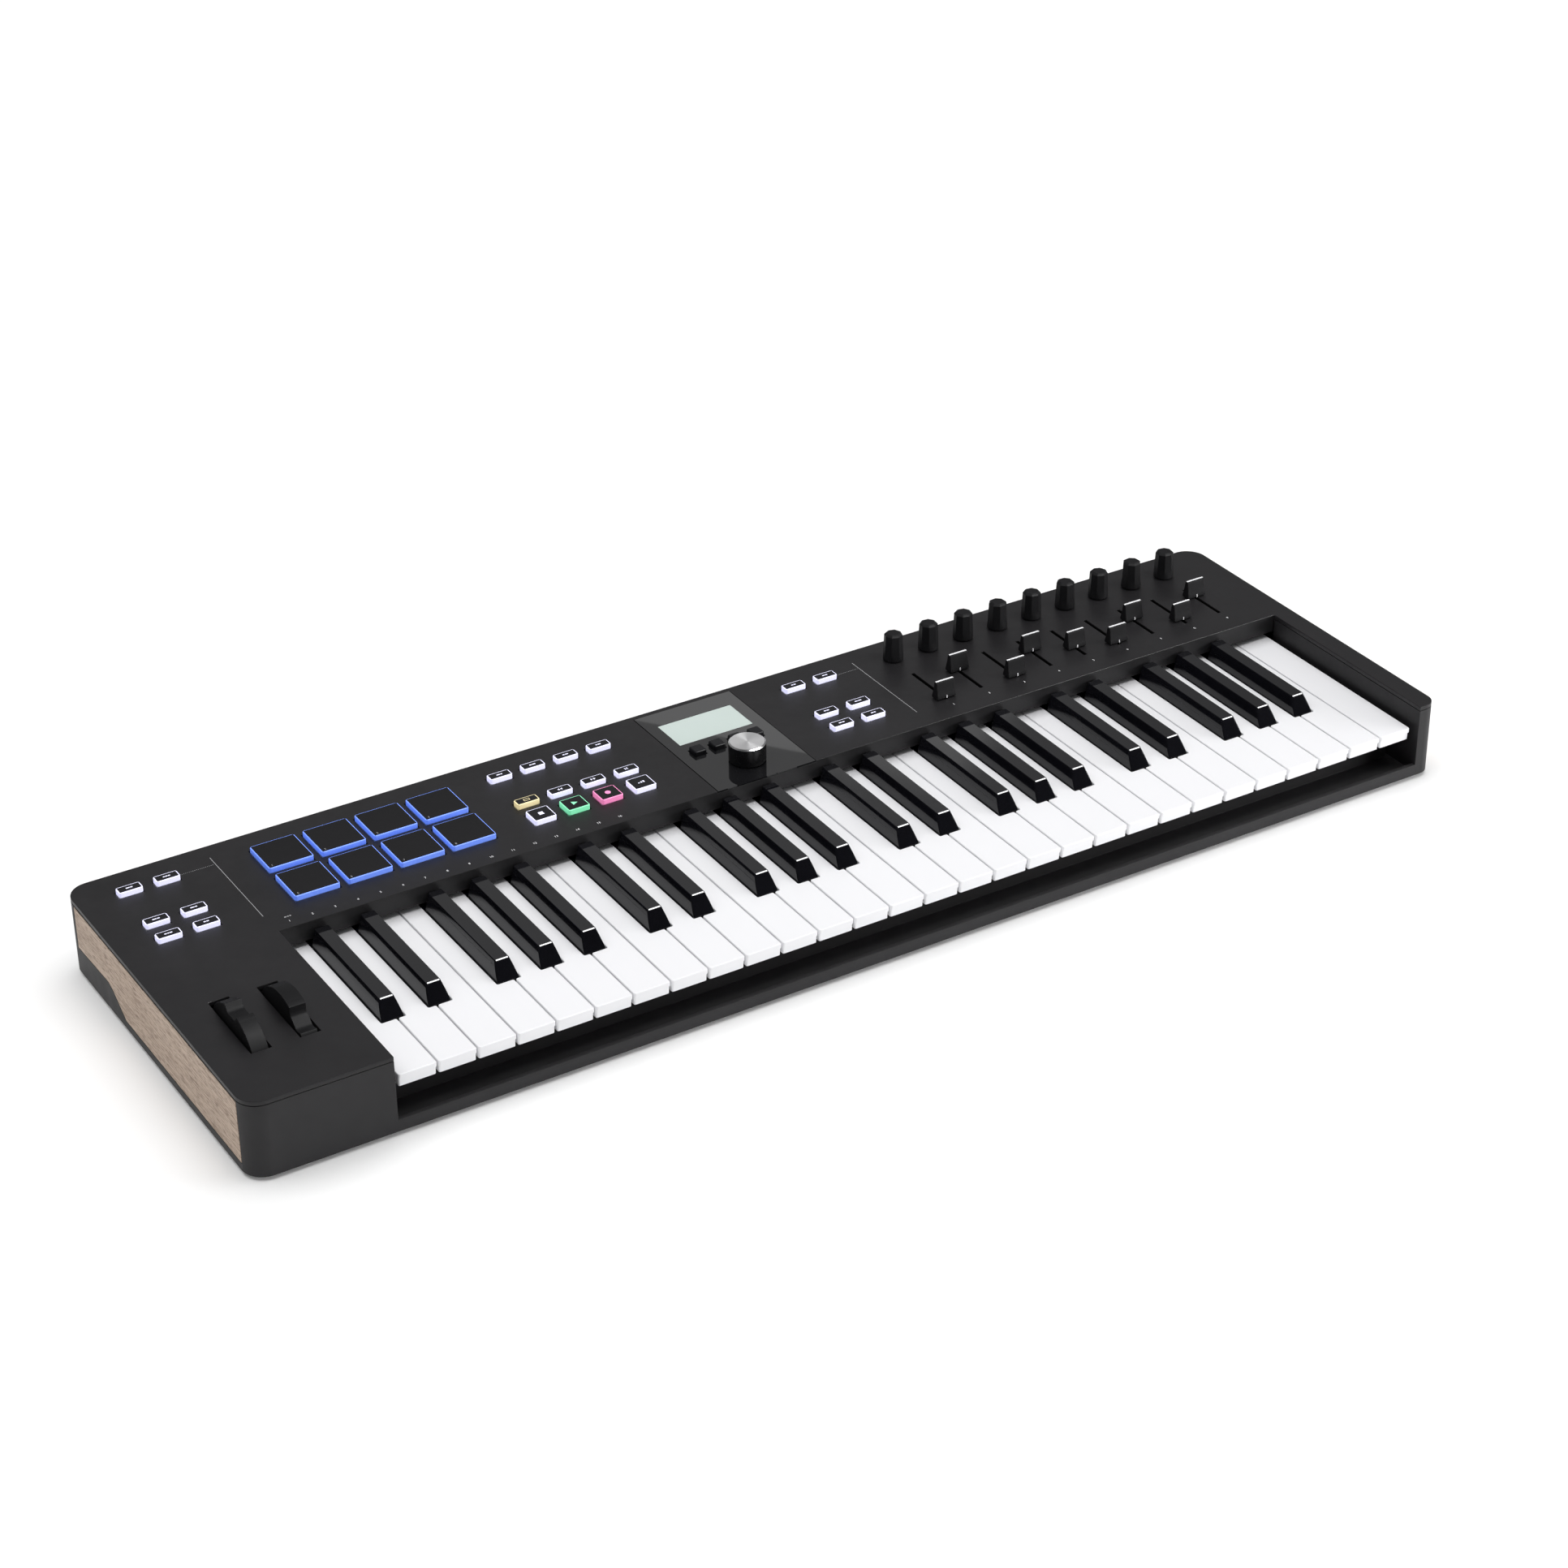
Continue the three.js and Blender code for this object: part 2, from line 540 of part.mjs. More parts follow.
addPart('bottom_case', bottomCase(), 0x323134, 0.7);
addPart('top_panel', topPanel(), 0x343336, 0.65);
addPart('left_side_panel', sidePanel(-1), 0xb29c87, 0.6);
addPart('right_side_panel', sidePanel(1), 0xb29c87, 0.6);
for (let index = 0; index < WHITE_COUNT; index += 1) {
  addPart(`white_key_${String(index + 1).padStart(2, '0')}`, whiteKey(index), 0xf6f6f8, 0.35);
}
for (let octave = 0; octave * OCTAVE < WHITE_COUNT - 1; octave += 1) {
  addPart(`black_keys_octave_${octave + 1}`, blackComb(octave), 0x101012, 0.3);
}
addPart('pitch_wheel', wheel(PITCH_WHEEL_X, 0), 0x222224, 0.6);
addPart('mod_wheel', wheel(MOD_WHEEL_X, MOD_WHEEL_TURN), 0x222224, 0.6);
addPart('pad_mat', padMat(), 0x1c1c22, 0.75);
addPart('button_mat', buttonMat(), 0x1d1d20, 0.7);
addPart('encoder_knob', encoderKnob(), 0xd8d8da, 0.3, 1);
FADER_REST_Y.forEach((_, index) => {
  addPart(`knob_${index + 1}`, knob(index), 0x17171a, 0.6);
});
FADER_REST_Y.forEach((_, index) => {
  addPart(`fader_${index + 1}`, fader(index), 0x17171a, 0.6);
});

export default keyboard;
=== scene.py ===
"""Studio scene of a MIDI controller keyboard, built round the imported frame.

Metres, +X towards the treble end, +Y towards the rear, +Z up.
"""

import math

import bmesh
import bpy
from mathutils import Matrix, Vector


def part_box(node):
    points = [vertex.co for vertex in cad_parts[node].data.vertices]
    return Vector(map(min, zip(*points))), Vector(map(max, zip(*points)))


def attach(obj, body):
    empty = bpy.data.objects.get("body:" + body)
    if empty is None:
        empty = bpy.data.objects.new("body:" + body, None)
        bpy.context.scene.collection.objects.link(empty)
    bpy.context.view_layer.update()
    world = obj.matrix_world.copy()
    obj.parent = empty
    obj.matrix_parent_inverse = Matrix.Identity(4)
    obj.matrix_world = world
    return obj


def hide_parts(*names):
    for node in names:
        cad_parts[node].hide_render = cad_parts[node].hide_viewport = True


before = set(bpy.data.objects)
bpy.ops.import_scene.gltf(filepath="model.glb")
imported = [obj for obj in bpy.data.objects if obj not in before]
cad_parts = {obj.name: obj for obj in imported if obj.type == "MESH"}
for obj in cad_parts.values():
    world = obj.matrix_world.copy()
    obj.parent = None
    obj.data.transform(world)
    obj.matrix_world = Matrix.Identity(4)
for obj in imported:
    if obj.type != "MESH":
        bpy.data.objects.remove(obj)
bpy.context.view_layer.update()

MM = 0.001
CASE = "case"

# ---------- dimensions, in mm, from the frame if it has them
def node_box(name):
    """x0, x1, y0, y1, z0, z1 of a CAD node, in mm."""
    low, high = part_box(name)
    return [value / MM for pair in zip(low, high) for value in pair]


DECK_Z = node_box("top_panel")[5]
CASE_REAR = node_box("top_panel")[3]
WHITE_COUNT = 29
WHITE_NAMES = [f"white_key_{index + 1:02d}" for index in range(WHITE_COUNT)]
FIRST_WHITE = node_box(WHITE_NAMES[0])
WHITE_TOP = FIRST_WHITE[5]
WHITE_BOTTOM = FIRST_WHITE[4]
WHITE_PITCH = node_box(WHITE_NAMES[1])[0] - FIRST_WHITE[0]
WHITE_GAP = WHITE_PITCH - (FIRST_WHITE[1] - FIRST_WHITE[0])
FIRST_BOUNDARY = FIRST_WHITE[0] - WHITE_GAP / 2
OCTAVE = 7
BLACK_PLACES = ((1, -2.2), (2, 2.2), (4, -3.3), (5, 0.0), (6, 3.3))  # white boundary, shift
FIRST_COMB = node_box("black_keys_octave_1")
BLACK_FRONT = FIRST_COMB[2]
COMB_REAR = FIRST_COMB[3]
BLACK_BOTTOM = FIRST_COMB[4]
BLACK_TOP = FIRST_COMB[5]
BLACK_REAR = 17.4
BLACK_HALF = 6.6  # half width at the foot
BLACK_TOP_HALF = 4.25
BLACK_RUN = 6.7  # how far the front face leans back
BLACK_CORNER = 0.9
BLACK_SIDE_EDGE = 0.3  # chamfer round the top
BLACK_FRONT_EDGE = 0.6
BLACK_EDGE_DROP = 0.48
BLACK_BULGE = 0.22
BLACK_CLEARANCE = 0.7
COMB_FRONT = COMB_REAR - 6
COMB_TOP = 33.4
NOTCH_FRONT = BLACK_FRONT - 0.9
LIP_HEIGHT = 3
LIP_REACH = 0.7
COUNT = 9  # knobs and faders
KNOB_SIDES = 8
KNOB_TURNS = (4, 16, 9, 27, 12, 21, 2, 30, 14)  # degrees, no two alike
SLOT_HALF = 1.1
SLOT_FRONT = 40
SLOT_REAR = 77.3
SLOT_SKIN = 0.15
BUTTON_TOP = node_box("button_mat")[5]
MAT_BOTTOM = node_box("button_mat")[4]
MAT_TOP = MAT_BOTTOM + 2
WEB_MARGIN = 1  # rubber past the outer buttons
WEB_FRONT = 40
WEB_REAR = 112.4
LENS = (-29.65, 36.85, 18.9, 118.3)  # x0, x1, y0, y1
LCD = (-21.8, 28.7, 76.6, 103.5)
ENCODER_HOLE = (-0.3, 7.5, 37.5, 45.3)  # in the window, for the encoder's shaft
PAD_SIZE = 27.5
PAD_RIM = 0.6
PAD_COLUMNS = (-287.85, -255.25, -222.65, -190.05)
PAD_ROWS = (75.9, 41.7)
LEFT_COLUMNS = (-369.15, -346.85)
MIDDLE_COLUMNS = (-137.65, -115.85, -93.85, -71.75)
RIGHT_COLUMNS = (64.35, 86.85)
SCREEN_COLUMNS = (-20.75, -7.45, 5.75, 18.95)
SIDE_ROWS = (41.5, 58.5, 96.3)
SMALL_BUTTON = (14.3, 6.6)
LARGE_BUTTON = (14.0, 13.0)
SCREEN_BUTTON = 7.9  # width
SCREEN_ROW = (60.3, 68.7)
BUTTON_RIM = 0.7
FIGURE_SIZE = 1.75
PRINT_DEPTH = 0.03


# ---------- node helpers
def add_node(tree, kind, inputs=None, **settings):
    made = tree.nodes.new(kind)
    for key, value in settings.items():
        setattr(made, key, value)
    for key, value in (inputs or {}).items():
        if isinstance(value, bpy.types.NodeSocket):
            tree.links.new(value, made.inputs[key])
        else:
            made.inputs[key].default_value = value
    return made


def start_material(name, **shader):
    """A material, its tree and its Principled shader with the given plain values."""
    material = bpy.data.materials.new(name)
    material.use_nodes = True
    tree = material.node_tree
    principled = tree.nodes["Principled BSDF"]
    for key, value in shader.items():
        principled.inputs[key.replace("_", " ")].default_value = value
    return material, tree, principled


def object_coordinates(tree, scale=(1, 1, 1)):
    place = add_node(tree, "ShaderNodeTexCoord")
    return add_node(tree, "ShaderNodeMapping", {"Vector": place.outputs["Object"], "Scale": scale})


def noise(tree, scale, detail, stretch=(1, 1, 1), rough=0.55):
    where = object_coordinates(tree, stretch)
    made = add_node(tree, "ShaderNodeTexNoise",
                    {"Vector": where.outputs[0], "Scale": scale, "Detail": detail, "Roughness": rough})
    return made.outputs["Fac"]


def ramp(tree, factor, stops):
    made = add_node(tree, "ShaderNodeValToRGB", {"Fac": factor})
    elements = made.color_ramp.elements
    while len(elements) < len(stops):
        elements.new(0.5)
    for element, (position, colour) in zip(elements, stops):
        element.position = position
        element.color = (*colour, 1.0)
    return made.outputs["Color"]


def vary(tree, factor, low, high):
    """A colour that goes from low to high over the middle of the factor's range."""
    return ramp(tree, factor, ((0.3, low), (0.7, high)))


def feed(tree, principled, **sockets):
    """Link sockets to the shader's inputs, each named with underscores."""
    for key, socket in sockets.items():
        tree.links.new(socket, principled.inputs[key.replace("_", " ")])


def mix_colours(tree, factor, first, second, blend="MIX"):
    return add_node(tree, "ShaderNodeMix", {"Factor": factor, "A": first, "B": second},
                    data_type="RGBA", blend_type=blend).outputs["Result"]


def object_height(tree):
    place = add_node(tree, "ShaderNodeTexCoord").outputs["Object"]
    return add_node(tree, "ShaderNodeSeparateXYZ", {"Vector": place}).outputs["Z"]


def remap(tree, value, low, high):
    made = add_node(tree, "ShaderNodeMapRange", {"Value": value, "From Min": 0.25, "From Max": 0.75,
                                                  "To Min": low, "To Max": high})
    return made.outputs["Result"]


def bump(tree, principled, height, strength, distance):
    made = add_node(tree, "ShaderNodeBump", {"Height": height, "Strength": strength, "Distance": distance})
    feed(tree, principled, Normal=made.outputs["Normal"])


def shade(colour, factor):
    return tuple(channel * factor for channel in colour)


# ---------- materials
def moulded(name, colour, roughness, grain=3200, depth=0.00004, spread=0.12, uneven=0.045, **shader):
    """Moulded plastic or rubber: faint cloudiness, uneven gloss, and a grain `depth` metres high."""
    material, tree, principled = start_material(name, **shader)
    cloud = noise(tree, 22, 4)
    fine = noise(tree, grain, 2)
    feed(tree, principled, Base_Color=vary(tree, cloud, shade(colour, 1 - spread), shade(colour, 1 + spread)))
    feed(tree, principled, Roughness=remap(tree, noise(tree, 90, 5), roughness - uneven, roughness + uneven))
    bump(tree, principled, fine, 0.35, depth)
    return material


def case_material():
    """The lower case: charcoal grain above, black rubber on the feet."""
    material, tree, principled = start_material("case_charcoal", Specular_IOR_Level=0.35)
    above_foot = add_node(tree, "ShaderNodeMath", {0: object_height(tree), 1: 2.4 * MM},
                          operation="GREATER_THAN").outputs[0]
    body = vary(tree, noise(tree, 22, 4), (0.0125, 0.0117, 0.0131), (0.015, 0.0142, 0.0157))
    foot = vary(tree, noise(tree, 300, 3), (0.008, 0.008, 0.008), (0.013, 0.013, 0.013))
    feed(tree, principled, Base_Color=mix_colours(tree, above_foot, foot, body))
    feed(tree, principled, Roughness=remap(tree, noise(tree, 90, 5), 0.5, 0.6))
    bump(tree, principled, noise(tree, 3200, 2), 0.35, 0.00004)
    return material


def wood_material():
    """Pale oak: long soft bands, fine fibres and short dark pores, all along the depth."""
    material, tree, principled = start_material("oak", Specular_IOR_Level=0.3)
    bands = noise(tree, 1, 3, (120, 9, 210))
    fibres = noise(tree, 1, 3, (1500, 60, 1500), 0.6)
    pores = noise(tree, 1, 2, (2100, 150, 2100), 0.5)
    ground = vary(tree, bands, (0.50, 0.385, 0.30), (0.56, 0.445, 0.355))
    lines = ramp(tree, fibres, ((0.34, (0.5, 0.45, 0.41)), (0.56, (1.0, 1.0, 1.0))))
    dots = ramp(tree, pores, ((0.36, (0.34, 0.28, 0.24)), (0.46, (1.0, 1.0, 1.0))))
    lined = mix_colours(tree, 0.75, ground, lines, "MULTIPLY")
    feed(tree, principled, Base_Color=mix_colours(tree, 0.8, lined, dots, "MULTIPLY"))
    feed(tree, principled, Roughness=remap(tree, fibres, 0.62, 0.5))
    bump(tree, principled, fibres, 0.4, 0.00008)
    return material


def turned_metal():
    """Lathe-turned aluminium: concentric grooves and a radial sheen."""
    material, tree, principled = start_material(
        "turned_aluminium", Metallic=1.0, Anisotropic=0.8, Anisotropic_Rotation=0.25)
    place = add_node(tree, "ShaderNodeTexCoord").outputs["Object"]
    rings = add_node(tree, "ShaderNodeTexWave",
                     {"Vector": place, "Scale": 900.0, "Distortion": 0.4, "Detail": 2.0, "Detail Scale": 3.0},
                     wave_type="RINGS", rings_direction="Z")
    grooves = rings.outputs["Fac"]
    tangent = add_node(tree, "ShaderNodeTangent", direction_type="RADIAL", axis="Z")
    tint = ramp(tree, grooves, ((0.0, (0.88, 0.88, 0.89)), (1.0, (0.95, 0.95, 0.96))))
    feed(tree, principled, Base_Color=tint, Roughness=remap(tree, grooves, 0.3, 0.34),
         Tangent=tangent.outputs[0])
    bump(tree, principled, grooves, 0.03, 0.000001)
    return material


def lit_silicone(name, colour, glow, strength, top=0.8):
    """Cloudy silicone lit from below: dark under the deck, with `top` times the glow at the upper edge."""
    material, tree, principled = start_material(
        name, Roughness=0.45, Specular_IOR_Level=0.4, Emission_Strength=strength)
    rise = add_node(tree, "ShaderNodeMapRange",
                    {"Value": object_height(tree), "From Min": -3.2 * MM, "From Max": 0.0,
                     "To Min": 0.0, "To Max": 1.0}).outputs["Result"]
    cloud = noise(tree, 160, 3)
    glowing = ramp(tree, rise, ((0.0, (0, 0, 0)), (0.04, glow), (0.75, glow), (1.0, shade(glow, top))))
    feed(tree, principled, Base_Color=vary(tree, cloud, shade(colour, 0.93), colour), Emission_Color=glowing)
    bump(tree, principled, noise(tree, 2500, 2), 0.2, 0.00003)
    return material


def lcd_material():
    """Reflective liquid crystal: pale grey green with a barely visible cell grid, and a faint painted glow in
    the same colour.
    """
    material, tree, principled = start_material(
        "lcd", Roughness=0.22, Specular_IOR_Level=0.4, Emission_Strength=0.03)
    cells = add_node(tree, "ShaderNodeTexChecker",
                     {"Vector": object_coordinates(tree).outputs[0], "Scale": 2400.0,
                      "Color1": (0.53, 0.61, 0.58, 1), "Color2": (0.55, 0.63, 0.60, 1)})
    tint = vary(tree, noise(tree, 14, 2), (0.93, 0.94, 0.93), (1.0, 1.0, 1.0))
    tinted = mix_colours(tree, 1.0, cells.outputs["Color"], tint, "MULTIPLY")
    # the emission is a painted glow in the display's own colour
    feed(tree, principled, Base_Color=tinted, Emission_Color=tinted)
    return material


LOOKS = {
    "case": case_material(),
    "deck": moulded("deck_charcoal", (0.0108, 0.0101, 0.0114), 0.46, Specular_IOR_Level=0.35),
    "wood": wood_material(),
    "white_key": moulded("key_white", (0.86, 0.86, 0.88), 0.3, 1500, 0.000004, 0.006, 0.01,
                        Specular_IOR_Level=0.45),
    "black_key": moulded("key_black", (0.004, 0.004, 0.0055), 0.075, 1800, 0.000002, 0.2, 0.02,
                         Specular_IOR_Level=0.4),
    "wheel": moulded("wheel_black", (0.0085, 0.0085, 0.0093), 0.55, 2600, 0.00005, 0.15,
                     Specular_IOR_Level=0.15),
    "cap": moulded("soft_touch_black", (0.0085, 0.0083, 0.0095), 0.58, 3000, 0.00004, 0.15,
                   Specular_IOR_Level=0.16),
    "encoder_side": moulded("encoder_black", (0.005, 0.005, 0.0055), 0.28, 2400, 0.00001, 0.2),
    "encoder_top": turned_metal(),
    "pad_face": moulded("pad_black", (0.0065, 0.0062, 0.0075), 0.55, 2300, 0.00005, 0.12,
                        Specular_IOR_Level=0.25),
    "pad_light": lit_silicone("pad_blue", (0.24, 0.37, 0.82), (0.06, 0.15, 0.78), 0.62, 1.4),
    "button_face": moulded("button_black", (0.006, 0.006, 0.0078), 0.42, 2300, 0.00003, 0.12,
                           Specular_IOR_Level=0.25),
    "button_white": lit_silicone("button_white", (0.8, 0.8, 0.9), (0.66, 0.66, 1.0), 0.72),
    "button_green": lit_silicone("button_green", (0.3, 0.78, 0.5), (0.16, 0.9, 0.45), 0.45),
    "button_pink": lit_silicone("button_pink", (0.85, 0.32, 0.58), (1.0, 0.2, 0.5), 0.45),
    "button_yellow": lit_silicone("button_yellow", (0.9, 0.8, 0.48), (1.0, 0.8, 0.4), 0.38),
    "lens": moulded("smoked_window", (0.008, 0.008, 0.009), 0.014, 900, 0.0000002, 0.1, 0.004,
                    Specular_IOR_Level=0.5),
    "lcd": lcd_material(),
    "ink": moulded("white_ink", (0.86, 0.86, 0.88), 0.6, 2600, 0.00001, 0.05),
    "grey_ink": moulded("grey_ink", (0.34, 0.34, 0.35), 0.6, 2600, 0.00001, 0.05),
    "metal": moulded("nickel", (0.62, 0.61, 0.59), 0.3, 1200, 0.00001, 0.06, Metallic=1.0),
    "screw": moulded("black_zinc", (0.05, 0.05, 0.052), 0.4, 1200, 0.00001, 0.1, Metallic=0.8),
    # black for parts inside the case, and painted shade in the fader slots and on the screw heads
    "inner": moulded("inner_black", (0.004, 0.004, 0.004), 0.75, 1800, 0.00003, 0.2, Specular_IOR_Level=0.08),
}


# ---------- mesh helpers
def shared_mesh(name, mesh):
    """Mesh data in metres from a bmesh in mm, which is used up."""
    data = bpy.data.meshes.new(name)
    bmesh.ops.recalc_face_normals(mesh, faces=mesh.faces)
    mesh.to_mesh(data)
    mesh.free()
    data.transform(Matrix.Scale(MM, 4))
    return data


def make_piece(name, mesh, body, look, sharp=35):
    """An object from a bmesh in mm, drawn where it stands."""
    return place_piece(name, shared_mesh(name, mesh), (0, 0, 0), body, look, sharp)


def place_piece(name, data, origin, body, look, sharp=35):
    """An object with its mesh at `origin`, in mm, smooth except over edges of `sharp` degrees."""
    for polygon in data.polygons:
        polygon.use_smooth = True
    data.set_sharp_from_angle(angle=math.radians(sharp))
    if not data.materials:
        data.materials.append(LOOKS[look])
    piece = bpy.data.objects.new(name, data)
    bpy.context.scene.collection.objects.link(piece)
    piece.location = Vector(origin) * MM
    weighted = piece.modifiers.new("flat_faces", "WEIGHTED_NORMAL")
    weighted.keep_sharp = True
    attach(piece, body)
    return piece


def add_loft(mesh, rings):
    """A closed body through rings of equal length, counter-clockwise, from low to high."""
    rows = [[mesh.verts.new(point) for point in ring] for ring in rings]
    count = len(rows[0])
    for lower, upper in zip(rows, rows[1:]):
        for k in range(count):
            mesh.faces.new((lower[k], lower[(k + 1) % count], upper[(k + 1) % count], upper[k]))
    mesh.faces.new(rows[0][::-1])
    mesh.faces.new(rows[-1])
    return mesh


def rounded_rect(x0, x1, y0, y1, z, radius, steps=4):
    ring = []
    corners = ((x1 - radius, y0 + radius, -90), (x1 - radius, y1 - radius, 0),
               (x0 + radius, y1 - radius, 90), (x0 + radius, y0 + radius, 180))
    for cx, cy, start in corners:
        for k in range(steps + 1):
            angle = math.radians(start + 90 * k / steps)
            ring.append((cx + radius * math.cos(angle), cy + radius * math.sin(angle), z))
    return ring


def edge_steps(z0, z1, low_edge, high_edge, steps=3):
    """(inset, z) pairs for a block with rounded lower and upper edges."""
    pairs = []
    if low_edge:
        for k in range(steps + 1):
            angle = math.pi / 2 * k / steps
            pairs.append((low_edge * (1 - math.sin(angle)), z0 + low_edge * (1 - math.cos(angle))))
    else:
        pairs.append((0.0, z0))
    for k in range(steps + 1):
        angle = math.pi / 2 * k / steps
        pairs.append((high_edge * (1 - math.cos(angle)), z1 - high_edge + high_edge * math.sin(angle)))
    return pairs


def add_slab(mesh, x0, x1, y0, y1, z0, z1, corner, edge, low_edge=0.0):
    """Rounded rectangular block."""
    rings = []
    for inset, z in edge_steps(z0, z1, low_edge, edge):
        radius = max(corner - inset, 0.04)
        rings.append(rounded_rect(x0 + inset, x1 - inset, y0 + inset, y1 - inset, z, radius))
    return add_loft(mesh, rings)


def add_box(mesh, x0, x1, y0, y1, z0, z1):
    return add_loft(mesh, [[(x0, y0, z), (x1, y0, z), (x1, y1, z), (x0, y1, z)] for z in (z0, z1)])


def round_polygon(corners):
    """Outline from (x, y, radius) corners, each corner turned into an arc."""
    steps = 3
    outline = []
    count = len(corners)
    for k, (x, y, radius) in enumerate(corners):
        here = Vector((x, y))
        back = (Vector(corners[k - 1][:2]) - here).normalized()
        ahead = (Vector(corners[(k + 1) % count][:2]) - here).normalized()
        if radius <= 0:
            outline.append(here)
            continue
        half = back.angle(ahead) / 2
        reach = radius / math.tan(half)
        centre = here + (back + ahead).normalized() * (radius / math.sin(half))
        start = here + back * reach - centre
        end = here + ahead * reach - centre
        turn = start.angle_signed(end)
        for step in range(steps + 1):
            outline.append(centre + Matrix.Rotation(-turn * step / steps, 2) @ start)
    return outline


def inset_outline(outline, inset):
    """A counter-clockwise outline moved inwards by `inset`."""
    moved = []
    count = len(outline)
    for k, here in enumerate(outline):
        before = (here - outline[k - 1]).normalized()
        after = (outline[(k + 1) % count] - here).normalized()
        left_before = Vector((-before.y, before.x))
        left_after = Vector((-after.y, after.x))
        middle = (left_before + left_after).normalized()
        moved.append(here + middle * (inset / max(0.3, middle.dot(left_before))))
    return moved


def add_outline_slab(mesh, outline, pairs):
    """A body whose outline is inset by each pair's first value at its second value's height."""
    return add_loft(mesh, [[(p.x, p.y, z) for p in inset_outline(outline, inset)] for inset, z in pairs])


def circle(radius, z, count, cx, cy):
    angles = [2 * math.pi * k / count for k in range(count)]
    return [(cx + radius * math.cos(angle), cy + radius * math.sin(angle), z) for angle in angles]


def add_turned(mesh, profile, count, cx=0.0, cy=0.0):
    """A turned body from (radius, z) pairs, low to high."""
    return add_loft(mesh, [circle(radius, z, count, cx, cy) for radius, z in profile])


def add_plate(mesh, x0, x1, y0, y1, z0, z1, holes):
    """A flat plate with rectangular holes (x0, x1, y0, y1)."""
    xs = sorted({x0, x1, *(value for hole in holes for value in hole[:2])})
    ys = sorted({y0, y1, *(value for hole in holes for value in hole[2:])})

    def solid(i, j):
        if not (0 <= i < len(xs) - 1 and 0 <= j < len(ys) - 1):
            return False
        cx, cy = (xs[i] + xs[i + 1]) / 2, (ys[j] + ys[j + 1]) / 2
        return not any(hx0 < cx < hx1 and hy0 < cy < hy1 for hx0, hx1, hy0, hy1 in holes)

    corners = {}

    def corner(i, j, z):
        if (i, j, z) not in corners:
            corners[i, j, z] = mesh.verts.new((xs[i], ys[j], z))
        return corners[i, j, z]

    for i in range(len(xs) - 1):
        for j in range(len(ys) - 1):
            if not solid(i, j):
                continue
            loop = ((i, j), (i + 1, j), (i + 1, j + 1), (i, j + 1))
            mesh.faces.new([corner(a, b, z1) for a, b in loop])
            mesh.faces.new([corner(a, b, z0) for a, b in reversed(loop)])
            sides = ((0, i, j - 1), (1, i + 1, j), (2, i, j + 1), (3, i - 1, j))
            for k, ni, nj in sides:
                if not solid(ni, nj):
                    a, b = loop[k], loop[(k + 1) % 4]
                    mesh.faces.new((corner(*a, z0), corner(*b, z0), corner(*b, z1), corner(*a, z1)))
    return mesh


# ---------- case
def smooth_by_angle(degrees):
    """Node group that shades faces smooth and keeps edges over the angle sharp."""
    group = bpy.data.node_groups.new("smooth_by_angle", "GeometryNodeTree")
    group.interface.new_socket("Geometry", in_out="INPUT", socket_type="NodeSocketGeometry")
    group.interface.new_socket("Geometry", in_out="OUTPUT", socket_type="NodeSocketGeometry")
    source = group.nodes.new("NodeGroupInput")
    target = group.nodes.new("NodeGroupOutput")
    smooth = add_node(group, "GeometryNodeSetShadeSmooth",
                      {"Geometry": source.outputs[0], "Shade Smooth": True}, domain="FACE")
    angle = add_node(group, "GeometryNodeInputMeshEdgeAngle").outputs["Unsigned Angle"]
    over = add_node(group, "ShaderNodeMath", {0: angle, 1: math.radians(degrees)}, operation="GREATER_THAN")
    sharp = add_node(group, "GeometryNodeSetShadeSmooth",
                     {"Geometry": smooth.outputs[0], "Selection": over.outputs[0], "Shade Smooth": False},
                     domain="EDGE")
    group.links.new(sharp.outputs[0], target.inputs[0])
    return group


SMOOTH_BY_ANGLE = smooth_by_angle(32)


def soften(node, width, even):
    """Small rounded edges on a CAD solid, by modifiers only: flat areas are merged first."""
    weld = node.modifiers.new("weld", "WELD")
    weld.merge_threshold = 0.000002
    flat = node.modifiers.new("flat", "DECIMATE")
    flat.decimate_type = "DISSOLVE"
    flat.angle_limit = math.radians(0.5)
    if even:
        split = node.modifiers.new("even", "TRIANGULATE")
        split.quad_method = "BEAUTY"
        split.ngon_method = "BEAUTY"
    edge = node.modifiers.new("edge", "BEVEL")
    edge.width = width
    edge.segments = 2
    edge.limit_method = "ANGLE"
    edge.angle_limit = math.radians(40)
    edge.use_clamp_overlap = False
    shading = node.modifiers.new("shading", "NODES")
    shading.node_group = SMOOTH_BY_ANGLE
    weighted = node.modifiers.new("flat_faces", "WEIGHTED_NORMAL")
    weighted.keep_sharp = True


def dress_case():
    finishes = {"bottom_case": ("case", 0.3), "top_panel": ("deck", 0.4),
                "left_side_panel": ("wood", 0.15), "right_side_panel": ("wood", 0.15)}
    for name, (look, edge) in finishes.items():
        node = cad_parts[name]
        node.data.materials.clear()
        node.data.materials.append(LOOKS[look])
        soften(node, edge * MM, even=name != "top_panel")


# ---------- keys
def white_boundary(index):
    return FIRST_BOUNDARY + index * WHITE_PITCH


def black_centre(boundary):
    if boundary <= 0 or boundary >= WHITE_COUNT - 1:
        return None
    for place, shift in BLACK_PLACES:
        if place == boundary % OCTAVE:
            return white_boundary(boundary) + shift
    return None


def white_outline(index):
    left, right, front, rear = node_box(WHITE_NAMES[index])[:4]
    notch = BLACK_HALF + BLACK_CLEARANCE
    low, high = black_centre(index), black_centre(index + 1)
    corners = [(left, front, 1.3), (right, front, 1.3)]
    if high is None:
        corners.append((right, rear, 0))
    else:
        corners += [(right, NOTCH_FRONT, 1.0), (high - notch, NOTCH_FRONT, 0.8), (high - notch, rear, 0)]
    if low is None:
        corners.append((left, rear, 0))
    else:
        corners += [(low + notch, rear, 0), (low + notch, NOTCH_FRONT, 0.8), (left, NOTCH_FRONT, 1.0)]
    return round_polygon(corners)


